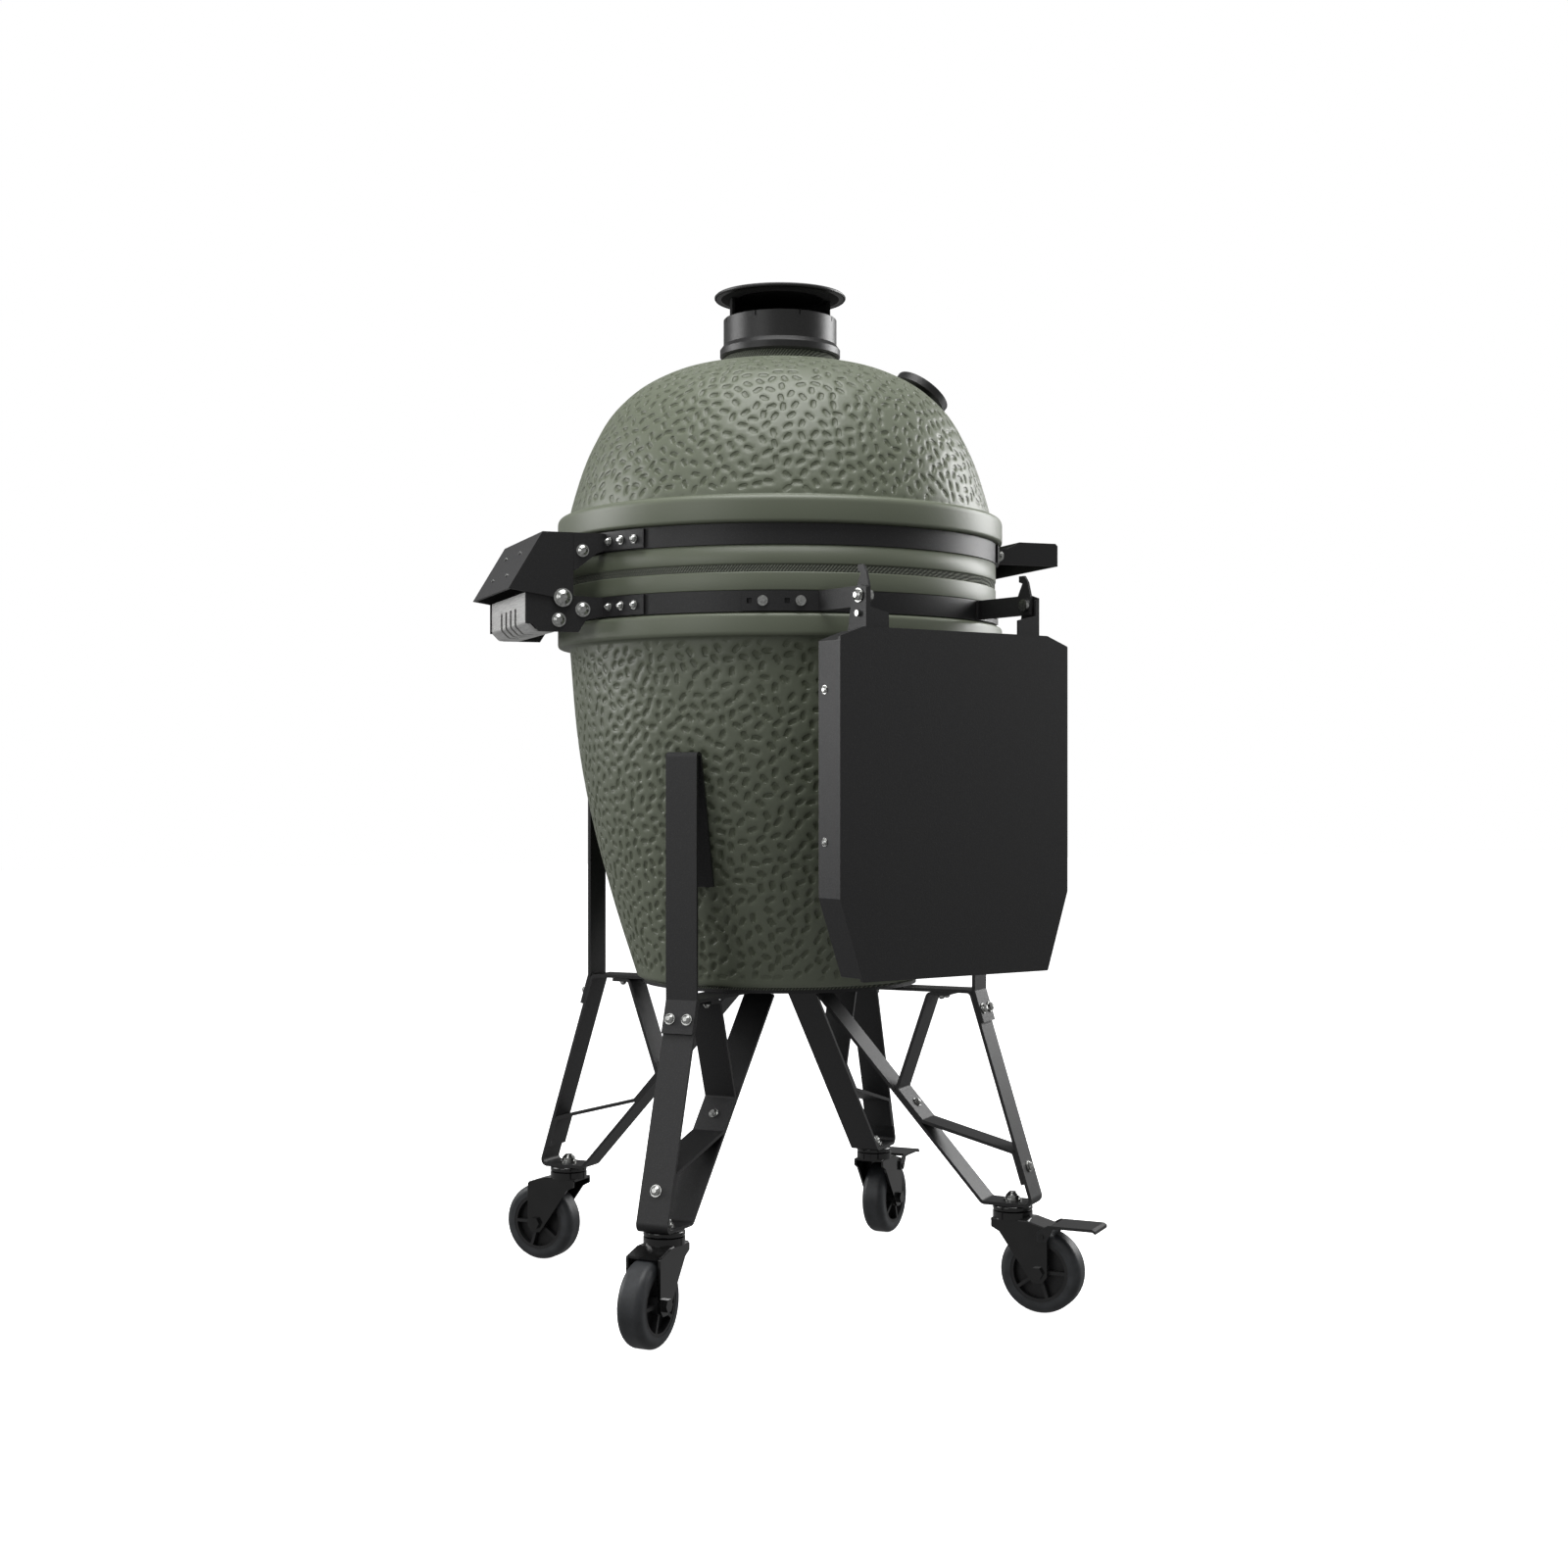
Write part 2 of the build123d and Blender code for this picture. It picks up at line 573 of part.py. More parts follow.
def across(face, s, thickness, points, mode=Mode.ADD):
    """Plate square to the hinge line between s and s + thickness."""
    plane = side_plane(face, s + thickness / 2)
    with BuildSketch(plane) as outline:
        with BuildLine():
            Polyline(*points, close=True)
        make_face()
    extrude(outline.sketch, amount=thickness / 2, both=True, mode=mode)


def pin_at(face, s, d, z):
    """Plane on the hinge line's direction, for a pin or a bolt at d and z."""
    side = 1 if s > 0 else -1
    origin = face.x_dir * s + face.z_dir * d + Vector(0, 0, z)
    return Plane(origin=origin, z_dir=face.x_dir * side)


def make_table(name, sign):
    """Panel, tray with arms, fixings and band brackets of one side table."""
    a = radians(table_angle)
    out = Vector(sign * cos(a), -sin(a), 0)
    face = Plane(origin=(0, 0, 0), x_dir=Vector(0, 0, 1).cross(out), z_dir=out)

    with BuildPart() as panel:
        plate(face.offset(table_face - panel_thickness), table_outline(0), panel_thickness, 2)
        for z in (table_bottom + 70, table_top - 70):
            for s in (-100, 100):
                with Locations(Plane(origin=out * tray_face + face.x_dir * s + Vector(0, 0, z),
                                     z_dir=out)):
                    Cylinder(6, tray_gap, align=BASE)
    save(panel, f"{name}_table_panel")

    with BuildPart() as tray:
        depth = tray_face - tray_back
        plate(face.offset(tray_back), table_outline(3), depth, 2)
        plate(face.offset(tray_back), table_outline(3 + tray_sheet), depth - tray_sheet, 2,
              mode=Mode.SUBTRACT)
        for side in (-1, 1):
            flange = [(side * s, z) for s, z in
                      ((arm_side, table_top - 25), (arm_side, arm_top),
                       (leg_side + 1.6, arm_top - 3), (leg_side + 1.6, table_pivot_z - 13),
                       (arm_side - arm_width, table_pivot_z - 19),
                       (arm_side - arm_width, table_top - 25))]
            plate(face.offset(tray_face - sheet), flange, sheet)
            start = arm_side - sheet if side > 0 else -arm_side
            across(face, start, sheet,
                   [(tray_face, table_top - 25), (tray_face, arm_top),
                    (table_pivot_d, arm_top + 4), (table_pivot_d - 10, arm_top),
                    (table_pivot_d - 14, table_pivot_z - 3), (tray_back + 4, table_top - 6),
                    (tray_back + 4, table_top - 25)])
            with Locations(pin_at(face, side * (arm_side - 8), table_pivot_d, table_pivot_z)):
                Cylinder(pin_radius + running, 20, align=BASE, mode=Mode.SUBTRACT)
    save(tray, f"{name}_table_tray")

    with BuildPart() as fixings:
        for side in (-1, 1):
            for z in (568, 736):
                with Locations(pin_at(face, side * (table_half - 3), tray_back + 12, z)):
                    dome_head(5, 3)
            with Locations(pin_at(face, side * arm_side, table_pivot_d, table_pivot_z - 20)):
                Cylinder(3.5, 4, align=BASE)
    save(fixings, f"{name}_table_fixings")

    with BuildPart() as brackets:
        direction = degrees(atan2(out.Y, out.X))
        leg_start = sqrt(ear_radius ** 2 - (leg_side - sheet) ** 2) + 1.5
        for side in (-1, 1):
            ear(direction, *(side * v for v in (bracket_span[0] - 1.2, bracket_span[1])),
                base_ear_bottom, base_ear_top)
            start = leg_side - sheet if side > 0 else -leg_side
            across(face, start, sheet,
                   [(leg_start, base_ear_bottom), (table_pivot_d + 8, base_ear_bottom),
                    (table_pivot_d + 8, table_pivot_z + 10), (table_pivot_d + 3, hook_top - 8),
                    (table_pivot_d - 3, hook_top), (table_pivot_d - 12, hook_top),
                    (table_pivot_d - 12, hook_top - 7), (table_pivot_d - 6, hook_top - 9),
                    (table_pivot_d - 10, hook_top - 16), (table_pivot_d - 14, base_ear_top),
                    (leg_start, base_ear_top)])
            with Locations(pin_at(face, side * (leg_side - 8), table_pivot_d, table_pivot_z)):
                Cylinder(pin_radius + running, 20, align=BASE, mode=Mode.SUBTRACT)
            for angle in bracket_bolts:
                slot = on_band(direction + side * (angle + 3.2), table_pivot_z, ear_radius - 5)
                with Locations(slot):
                    Box(6, 6, 20, mode=Mode.SUBTRACT)
    save(brackets, f"{name}_band_brackets")

    with base_bolts:
        for side in (-1, 1):
            with Locations(pin_at(face, side * (leg_side - 6), table_pivot_d, table_pivot_z)):
                Cylinder(pin_radius, arm_side - leg_side + 6 + fit, align=BASE)
            with Locations(pin_at(face, side * (arm_side + fit), table_pivot_d, table_pivot_z)):
                dome_head(8, 6)
            with Locations(pin_at(face, side * (leg_side - sheet - 5), table_pivot_d,
                                  table_pivot_z)):
                Cylinder(7, 5, align=BASE)
            for angle in bracket_bolts:
                with Locations(on_band(direction + side * angle, table_pivot_z)):
                    hex_head(6, 7)


make_table("left", -1)
make_table("right", 1)
save(base_bolts, "base_bolts")

# ---- Stand ----
strap_thickness, strap_width, strap_bend = 4.0, 40.0, 7.0
leg_angles = (45.0, 135.0, 225.0, 315.0)
caster_radius = 310.0                      # from the ceramic's axis to a caster's swivel
pad_thickness, base_plate_thickness, base_plate_radius = 3.0, 4.0, 172.0
foot_z = 128.0
foot_outer_r, foot_inner_r = caster_radius + 31.0, caster_radius - 32.0
leg_top_r, bar_inner_r = 263.0, 60.0
bar_z = bowl_bottom - pad_thickness - base_plate_thickness - strap_thickness / 2
strap_gap = strap_thickness + 0.2          # between the middles of two straps that touch
upright_top, tongue_bottom, tail_length = 667.0, 512.0, 38.0
tongue_gap = 8.0

top_corner, foot_corner = (leg_top_r, bar_z), (foot_outer_r, foot_z)
inner_corner, inner_end_point = (foot_inner_r, foot_z), (bar_inner_r, bar_z - 10.0)


def beside(start, end, height, distance):
    """Point at a height on a line, moved square to it, outwards when positive."""
    (r1, z1), (r2, z2) = start, end
    length = hypot(r2 - r1, z2 - z1)
    nr, nz = abs(z2 - z1) / length, abs(r2 - r1) / length
    r = r1 + (r2 - r1) * (height - z1) / (z2 - z1)
    return (r + distance * nr, height + distance * nz)


def leg_plane(angle):
    """Upright plane through the axis: x outwards along the leg, y up."""
    a = radians(angle)
    return Plane(origin=(0, 0, 0), x_dir=(cos(a), sin(a), 0), z_dir=(sin(a), -cos(a), 0))


def strap(plane, points, bend):
    """Flat bar bent along the given middle line."""
    with BuildSketch(plane) as outline:
        with BuildLine():
            FilletPolyline(*points, radius=bend)
        trace(line_width=strap_thickness)
    extrude(outline.sketch, amount=strap_width / 2, both=True)


def leg_point(plane, r, z, across_leg=0.0, out=1.0, up=0.0):
    """Plane at a place on a leg, facing along (out, up)."""
    origin = plane.x_dir * r + Vector(0, 0, z) + plane.z_dir * across_leg
    return Plane(origin=origin, z_dir=plane.x_dir * out + Vector(0, 0, up))


for number, angle in enumerate(leg_angles, start=1):
    with BuildPart() as leg_frame:
        strap(leg_plane(angle), [(bar_inner_r, bar_z), top_corner, foot_corner, inner_corner,
                                 inner_end_point], strap_bend)
    save(leg_frame, f"leg_frame_{number}")

with BuildPart() as leg_uprights:
    tail_top = beside(top_corner, foot_corner, bar_z, strap_gap)
    tail_end = beside(top_corner, foot_corner, bar_z - tail_length, strap_gap)
    tongue_top_r = radius_at(bowl_outline, upright_top - 8) + tongue_gap
    tongue_low_r = radius_at(bowl_outline, tongue_bottom) + tongue_gap
    for angle in leg_angles:
        strap(leg_plane(angle), [(tongue_low_r, tongue_bottom), (tongue_top_r, upright_top),
                                 (tail_top[0], upright_top), tail_top, tail_end], 3.4)
save(leg_uprights, "leg_uprights")

with BuildPart() as leg_braces:
    for angle in leg_angles:
        strap(leg_plane(angle), [(232, bar_z - strap_gap), (208, bar_z - strap_gap),
                                 beside(inner_corner, inner_end_point, 255, strap_gap),
                                 beside(inner_corner, inner_end_point, 218, strap_gap),
                                 beside(top_corner, foot_corner, 192, -strap_gap),
                                 beside(top_corner, foot_corner, 154, -strap_gap)], 5)
save(leg_braces, "leg_braces")

with BuildPart() as base_plate:
    ring(60, base_plate_radius, bar_z + strap_thickness / 2,
         bar_z + strap_thickness / 2 + base_plate_thickness)
save(base_plate, "base_plate")

with BuildPart() as base_pad:
    ring(90, base_plate_radius, bowl_bottom - pad_thickness, bowl_bottom)
save(base_pad, "base_pad")

with BuildPart() as stand_bolts:
    slope = (foot_outer_r - leg_top_r) / (bar_z - foot_z)
    lean_in = (inner_corner[0] - inner_end_point[0]) / (inner_end_point[1] - inner_corner[1])
    for angle in leg_angles:
        plane = leg_plane(angle)
        tail = beside(top_corner, foot_corner, bar_z - 22, strap_gap + strap_thickness / 2)
        low = beside(top_corner, foot_corner, 172, strap_thickness / 2)
        mid = beside(inner_corner, inner_end_point, 236, strap_gap + strap_thickness / 2)
        for shift in (-11, 11):
            with Locations(leg_point(plane, *tail, shift, 1, slope)):
                dome_head(6.5, 6)
        with Locations(leg_point(plane, *low, 0, 1, slope)):
            dome_head(7, 6)
        with Locations(leg_point(plane, *mid, 0, 1, lean_in)):
            dome_head(6, 5)
        for shift in (-9, 9):
            with Locations(leg_point(plane, 222, bar_z - strap_gap - strap_thickness / 2, shift,
                                     0, -1)):
                dome_head(5, 5)
        with Locations(leg_point(plane, caster_radius, foot_z + strap_thickness / 2, 0, 0, 1)):
            dome_head(11, 11)
save(stand_bolts, "stand_bolts")

# ---- Casters ----
wheel_radius, wheel_width, trail = 50.0, 32.0, 38.0
tyre_inner, tyre_round = 36.0, 9.0
axle_radius, fork_half, fork_sheet = 4.0, 19.0, 3.0
head_radius, head_top = 24.0, foot_z - strap_thickness / 2
fork_top = 111.0
# Side of a fork: distance beyond the swivel's axis, and height
fork_outline = ((-20, 110), (24, 110), (50, 103), (50, 46), (44, 38), (32, 38), (27, 44),
                (-10, 96), (-20, 101))
race_gap = 0.5
axle_r = caster_radius + trail
pedal_pivot = (caster_radius + 44.0, 94.0)
pedal_reach, pedal_z = pedal_pivot[0] + 66.0, 108.0


def wheel_plane(angle):
    """Upright leg plane moved to the wheel's centre."""
    plane = leg_plane(angle)
    return Plane(origin=plane.x_dir * axle_r + Vector(0, 0, wheel_radius),
                 x_dir=plane.x_dir, z_dir=plane.z_dir)


def both_cheeks(plane, inside, points, thickness, corner=0.0):
    """Plates on both sides of an upright plane, inner faces at a distance."""
    plate(plane.offset(inside), points, thickness, corner)
    plate(plane.offset(-inside - thickness), points, thickness, corner)


with BuildPart() as caster_heads:
    for angle in leg_angles:
        with Locations(leg_point(leg_plane(angle), caster_radius, 119, 0, 0, 1)):
            Cylinder(head_radius, head_top - 119, align=BASE)
        with Locations(leg_point(leg_plane(angle), caster_radius, 104, 0, 0, 1)):
            Cylinder(6, 18, align=BASE)
fillet_rings = caster_heads.edges().filter_by(GeomType.CIRCLE).filter_by(
    lambda edge: abs(edge.radius - head_radius) < 0.1)
with caster_heads:
    fillet(fillet_rings, 2.5)
save(caster_heads, "caster_heads")

for number, angle in enumerate(leg_angles, start=1):
    plane = leg_plane(angle)
    wheel = wheel_plane(angle)
    braked = number > 2
    with BuildPart() as fork:
        both_cheeks(plane, fork_half,
                    [(caster_radius + r, z) for r, z in fork_outline], fork_sheet, 2)
        with BuildSketch(plane.offset(-fork_half - 1)) as roof:
            with BuildLine():
                FilletPolyline((caster_radius - 21, fork_top - 1.5),
                               (caster_radius + 24, fork_top - 1.5),
                               (caster_radius + 49, 102.5), radius=5)
            trace(line_width=fork_sheet)
        extrude(roof.sketch, amount=2 * fork_half + 2)
        with Locations(leg_point(plane, caster_radius, fork_top - 1, 0, 0, 1)):
            Cylinder(head_radius, 119 - race_gap - fork_top + 1, align=BASE)
        with Locations(leg_point(plane, caster_radius, 100, 0, 0, 1)):
            Cylinder(6 + running, 30, align=BASE, mode=Mode.SUBTRACT)
        with Locations(wheel):
            Cylinder(axle_radius, 2 * (fork_half + fork_sheet))
        for side in (-1, 1):
            with BuildSketch(wheel.offset(side * (fork_half + fork_sheet))) as hexagon:
                RegularPolygon(8, 6)
            extrude(hexagon.sketch, amount=side * 5)
            if braked:
                pin = Plane(origin=plane.x_dir * pedal_pivot[0] + Vector(0, 0, pedal_pivot[1])
                            + plane.z_dir * side * (fork_half + fork_sheet / 2),
                            z_dir=plane.z_dir * side)
                with Locations(pin):
                    Cylinder(3, 6, align=BASE)
    save(fork, f"caster_fork_{number}")

    with BuildPart() as tyre:
        with Locations(wheel):
            Cylinder(wheel_radius, wheel_width)
        fillet(tyre.edges().filter_by(GeomType.CIRCLE), tyre_round)
        with Locations(wheel):
            Cylinder(tyre_inner, wheel_width, mode=Mode.SUBTRACT)
    save(tyre, f"caster_tyre_{number}")

    with BuildPart() as hub:
        with Locations(wheel):
            Cylinder(tyre_inner, wheel_width - 1)
        for side in (-1, 1):
            with BuildSketch(wheel.offset(side * (wheel_width / 2 - 0.5))) as recess:
                Circle(tyre_inner - 4)
                Circle(12, mode=Mode.SUBTRACT)
                with PolarLocations(0, 5):
                    with Locations((tyre_inner / 2, 0)):
                        Rectangle(tyre_inner, 4, mode=Mode.SUBTRACT)
            extrude(recess.sketch, amount=-side * 9, mode=Mode.SUBTRACT)
            with Locations(wheel.offset(side * (wheel_width / 2))):
                Cylinder(11, 3)
        with Locations(wheel):
            Cylinder(axle_radius + running, 2 * wheel_width, mode=Mode.SUBTRACT)
    save(hub, f"caster_hub_{number}")

    if braked:
        with BuildPart() as pedal:
            r, z = pedal_pivot
            both_cheeks(plane, fork_half + fork_sheet + 0.4,
                        [(r - 6, z - 6), (r + 6, z - 6), (r + 14, pedal_z - 4),
                         (r + 22, pedal_z - 3), (r + 22, pedal_z), (r + 8, pedal_z),
                         (r - 6, z + 6)], 2.5, 1)
            outer = fork_half + fork_sheet + 2.9
            plate(plane.offset(-outer), [(r + 12, pedal_z - 3.5), (pedal_reach - 3, pedal_z - 3.5),
                                         (pedal_reach, pedal_z - 6), (pedal_reach, pedal_z - 2),
                                         (pedal_reach - 4, pedal_z), (r + 12, pedal_z)], 2 * outer)
            pin = Plane(origin=plane.x_dir * r + Vector(0, 0, z), z_dir=plane.z_dir)
            with Locations(pin):
                Cylinder(3 + running, 80, mode=Mode.SUBTRACT)
        save(pedal, f"brake_pedal_{number}")
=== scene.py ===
# %% [markdown]
# # A ceramic kamado grill
# The metalwork, the joints and every size come from the CAD frame. This script gives
# the frame its looks: glazed and dimpled ceramic, powder-coated flat bar, zinc bolts,
# felt seals and rubber tyres. It starts by loading the frame, and a helper reads the box
# that any one CAD part fills. Nothing made here may grow past it.

# %% Load the frame
import json
import math

import bpy
import numpy as np
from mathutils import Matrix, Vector


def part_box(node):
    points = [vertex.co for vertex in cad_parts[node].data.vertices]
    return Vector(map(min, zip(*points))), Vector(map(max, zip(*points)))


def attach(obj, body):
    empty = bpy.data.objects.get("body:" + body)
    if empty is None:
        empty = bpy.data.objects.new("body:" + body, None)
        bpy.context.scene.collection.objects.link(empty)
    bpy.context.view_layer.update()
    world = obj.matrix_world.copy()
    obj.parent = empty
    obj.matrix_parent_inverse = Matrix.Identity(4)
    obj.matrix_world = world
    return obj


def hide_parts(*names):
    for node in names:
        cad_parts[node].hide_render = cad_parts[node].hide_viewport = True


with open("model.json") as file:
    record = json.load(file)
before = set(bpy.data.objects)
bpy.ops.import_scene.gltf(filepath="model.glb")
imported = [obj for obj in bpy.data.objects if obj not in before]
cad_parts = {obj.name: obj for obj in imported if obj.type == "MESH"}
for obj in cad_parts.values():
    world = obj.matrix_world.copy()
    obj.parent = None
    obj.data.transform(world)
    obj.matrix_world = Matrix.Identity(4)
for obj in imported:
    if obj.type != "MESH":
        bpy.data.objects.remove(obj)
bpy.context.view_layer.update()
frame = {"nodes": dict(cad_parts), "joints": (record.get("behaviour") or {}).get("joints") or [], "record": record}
nodes = frame["nodes"]
MM = 0.001

# %% [markdown]
# ## Two small helpers
# Colours are written as a designer reads them, in sRGB hex. Blender's shaders work in
# linear light, so one function turns hex to linear. Every node in every tree below is
# added by one other function, which sets it up and links it in a single call.

# %% Colour and node helpers
def linear(code):
    """sRGB hex to a linear RGBA colour."""
    parts = [int(code[i:i + 2], 16) / 255 for i in (1, 3, 5)]
    return tuple(v / 12.92 if v <= 0.04045 else ((v + 0.055) / 1.055) ** 2.4
                 for v in parts) + (1.0,)


def add(tree, kind, inputs=None, **settings):
    """A node with its settings. Each input is a value, or an output socket to link."""
    made = tree.nodes.new(kind)
    for name, value in settings.items():
        setattr(made, name, value)
    for key, value in (inputs or {}).items():
        if isinstance(value, bpy.types.NodeSocket):
            tree.links.new(value, made.inputs[key])
        else:
            made.inputs[key].default_value = value
    return made


def finish_material(name, surface):
    """A new material with a Principled shader, ready for surface() to fill in."""
    material = bpy.data.materials.new(name)
    material.use_nodes = True
    tree = material.node_tree
    tree.nodes.clear()
    place = add(tree, "ShaderNodeTexCoord").outputs["Object"]
    shader = add(tree, "ShaderNodeBsdfPrincipled")
    add(tree, "ShaderNodeOutputMaterial", {"Surface": shader.outputs["BSDF"]})
    surface(tree, place, shader)
    return material


def ramp(tree, value, stops):
    """A colour ramp over a value: stops are (position, hex)."""
    made = add(tree, "ShaderNodeValToRGB", {"Fac": value})
    points = made.color_ramp.elements
    while len(points) < len(stops):
        points.new(0.5)
    for point, (position, code) in zip(points, stops):
        point.position = position
        point.color = linear(code)
    return made.outputs["Color"]


def bump(tree, shader, height, distance, strength=1.0):
    """Fine relief, distance in metres."""
    made = add(tree, "ShaderNodeBump", {"Height": height, "Distance": distance,
                                        "Strength": strength})
    tree.links.new(made.outputs["Normal"], shader.inputs["Normal"])


def noise(tree, place, size_mm, detail=2.0, roughness=0.5):
    """Noise whose features are about size_mm across."""
    return add(tree, "ShaderNodeTexNoise", {"Vector": place, "Scale": 1000 / size_mm,
                                            "Detail": detail, "Roughness": roughness})


print("mid grey in linear light:", round(linear("#808080")[0], 3))


# %% [markdown]
# ## Glazed stoneware
# The shell is slip-cast stoneware under a satin sage-green glaze. The raised net is paler
# and the pits are painted darker, as painted shade in the hollows. The relief itself is
# real geometry, made further down. It stores how deep each point sits in an attribute
# named sunk, and the material reads that.

# %% Glaze material
GLAZE_LIGHT, GLAZE_BODY, GLAZE_PIT_SHADE = "#6d7363", "#666c5b", "#575d4b"
DRIFT_SHARE, GRAIN_SHARE = 0.22, 0.12
EDGE_START, EDGE_END, EDGE_DEPTH = 2.4 * MM, 3.7 * MM, 0.9 * MM


def satin_glaze(tree, place, shader):
    sunk = add(tree, "ShaderNodeAttribute", attribute_name="sunk").outputs["Fac"]
    pill = add(tree, "ShaderNodeAttribute", attribute_name="pill").outputs["Fac"]
    share = add(tree, "ShaderNodeAttribute", attribute_name="relief").outputs["Fac"]
    drift = noise(tree, place, 90, 3.0).outputs["Fac"]
    mixed = add(tree, "ShaderNodeMath", {0: drift, 1: DRIFT_SHARE}, operation="MULTIPLY").outputs[0]
    # Pits are painted darker than the raised net: painted shade in the hollows, over a random drift of tone.
    pit_shade_and_drift = add(tree, "ShaderNodeMath", {0: sunk, 1: mixed}, operation="ADD").outputs[0]
    colour = ramp(tree, pit_shade_and_drift, ((0.0, GLAZE_LIGHT), (0.25, GLAZE_BODY), (1.0, GLAZE_PIT_SHADE)))
    tree.links.new(colour, shader.inputs["Base Color"])
    shader.inputs["Roughness"].default_value = 0.42
    shader.inputs["IOR"].default_value = 1.5
    edge = add(tree, "ShaderNodeMapRange", {"Value": pill, "From Min": EDGE_START,
                                            "From Max": EDGE_END, "To Min": -1.0, "To Max": 0.0},
               interpolation_type="SMOOTHSTEP").outputs["Result"]
    pit = add(tree, "ShaderNodeMath", {0: edge, 1: share}, operation="MULTIPLY").outputs[0]
    grain = noise(tree, place, 2.2, 3.0).outputs["Fac"]
    fine = add(tree, "ShaderNodeMath", {0: grain, 1: GRAIN_SHARE}, operation="MULTIPLY").outputs[0]
    height = add(tree, "ShaderNodeMath", {0: pit, 1: fine}, operation="ADD").outputs[0]
    bump(tree, shader, height, EDGE_DEPTH, 0.8)


glaze = finish_material("glazed_stoneware_sage", satin_glaze)
print("glaze:", glaze.name, "from", GLAZE_LIGHT, "to", GLAZE_PIT_SHADE)

# %% [markdown]
# ## Powder coat
# The bands, brackets, tables and stand are mild steel under black powder coat. The
# powder melts into a fine orange peel, and a few lighter grains are painted in as a
# faint painted glint of sparkle. It is matt enough that edges read as soft grey lines.
# The vent is painted cast iron, and its sleeve is painted near-black and matt between
# the collar and the disc, as painted shade in the gap under the disc.

# %% Powder coat and gloss paint
CLEAR_OF_COLLAR, DISC_THICKNESS = 0.5 * MM, 4 * MM
# The band of painted shade on the vent's sleeve runs from just above the collar to the underside of the disc.
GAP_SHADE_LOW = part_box("vent_collar")[1][2] + CLEAR_OF_COLLAR
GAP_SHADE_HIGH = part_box("vent_cap")[1][2] - DISC_THICKNESS


def powder_coat(tree, place, shader):
    grains_and_painted_glint = noise(tree, place, 1.1, 2.0, 0.7).outputs["Fac"]
    # The lightest stop paints a few grains as a faint painted glint of sparkle.
    colour = ramp(tree, grains_and_painted_glint, ((0.35, "#19191a"), (0.6, "#212122"), (0.78, "#3c3c3d")))
    tree.links.new(colour, shader.inputs["Base Color"])
    peel = noise(tree, place, 2.0, 2.0).outputs["Fac"]
    rough = add(tree, "ShaderNodeMapRange", {"Value": peel, "To Min": 0.42, "To Max": 0.56})
    tree.links.new(rough.outputs["Result"], shader.inputs["Roughness"])
    bump(tree, shader, peel, 0.0002, 0.45)


def gloss_black(tree, place, shader):
    wave = noise(tree, place, 25, 1.0).outputs["Fac"]
    tree.links.new(ramp(tree, wave, ((0.3, "#101010"), (0.7, "#191919"))),
                   shader.inputs["Base Color"])
    shader.inputs["Roughness"].default_value = 0.16
    shader.inputs["Coat Weight"].default_value = 0.5
    bump(tree, shader, wave, 0.0003, 0.3)


def cast_black(tree, place, shader):
    sand = noise(tree, place, 1.6, 4.0, 0.65).outputs["Fac"]
    paint = ramp(tree, sand, ((0.3, "#171717"), (0.75, "#262626")))
    height = add(tree, "ShaderNodeSeparateXYZ", {"Vector": place}).outputs["Z"]
    # Between the collar and the disc the sleeve is painted near-black and made matt: painted shade in the gap
    # under the disc.
    above = add(tree, "ShaderNodeMath", {0: height, 1: GAP_SHADE_LOW}, operation="GREATER_THAN")
    under = add(tree, "ShaderNodeMath", {0: height, 1: GAP_SHADE_HIGH}, operation="LESS_THAN")
    soot_and_gap_shade = add(tree, "ShaderNodeMath", {0: above.outputs[0], 1: under.outputs[0]},
               operation="MULTIPLY").outputs[0]
    mixed = add(tree, "ShaderNodeMix", {"Factor": soot_and_gap_shade, "A": paint, "B": linear("#050505")},
                data_type="RGBA")
    tree.links.new(mixed.outputs["Result"], shader.inputs["Base Color"])
    rough = add(tree, "ShaderNodeMapRange", {"Value": soot_and_gap_shade, "To Min": 0.38, "To Max": 0.95})
    tree.links.new(rough.outputs["Result"], shader.inputs["Roughness"])
    bump(tree, shader, sand, 0.0003, 0.5)


powder = finish_material("powder_coated_steel_black", powder_coat)
gloss = finish_material("gloss_lacquered_steel_black", gloss_black)
cast_paint = finish_material("painted_cast_iron_black", cast_black)
print("paints:", powder.name, gloss.name, cast_paint.name)

# %% [markdown]
# ## Bare metals
# Bolts are zinc plated and tumbled, so they are bright but a little blotchy. The
# spring guard is cold-rolled stainless sheet: its grain is drawn out along the sheet,
# which stretches every highlight the other way.

# %% Zinc, stainless and grate iron
def zinc_plate(tree, place, shader):
    blotch = noise(tree, place, 3.0, 3.0).outputs["Fac"]
    tree.links.new(ramp(tree, blotch, ((0.3, "#a9aaa8"), (0.7, "#dedfdc"))),
                   shader.inputs["Base Color"])
    shader.inputs["Metallic"].default_value = 1.0
    shader.inputs["Roughness"].default_value = 0.24
    bump(tree, shader, blotch, 0.0001, 0.4)


def brushed_stainless(tree, place, shader):
    drawn = add(tree, "ShaderNodeMapping", {"Vector": place, "Scale": (1.0, 1.0, 30.0)})
    lines = noise(tree, drawn.outputs["Vector"], 20, 4.0).outputs["Fac"]
    tree.links.new(ramp(tree, lines, ((0.3, "#c9c9c8"), (0.7, "#efefed"))),
                   shader.inputs["Base Color"])
    shader.inputs["Metallic"].default_value = 1.0
    shader.inputs["Roughness"].default_value = 0.4
    bump(tree, shader, lines, 0.0001, 0.3)


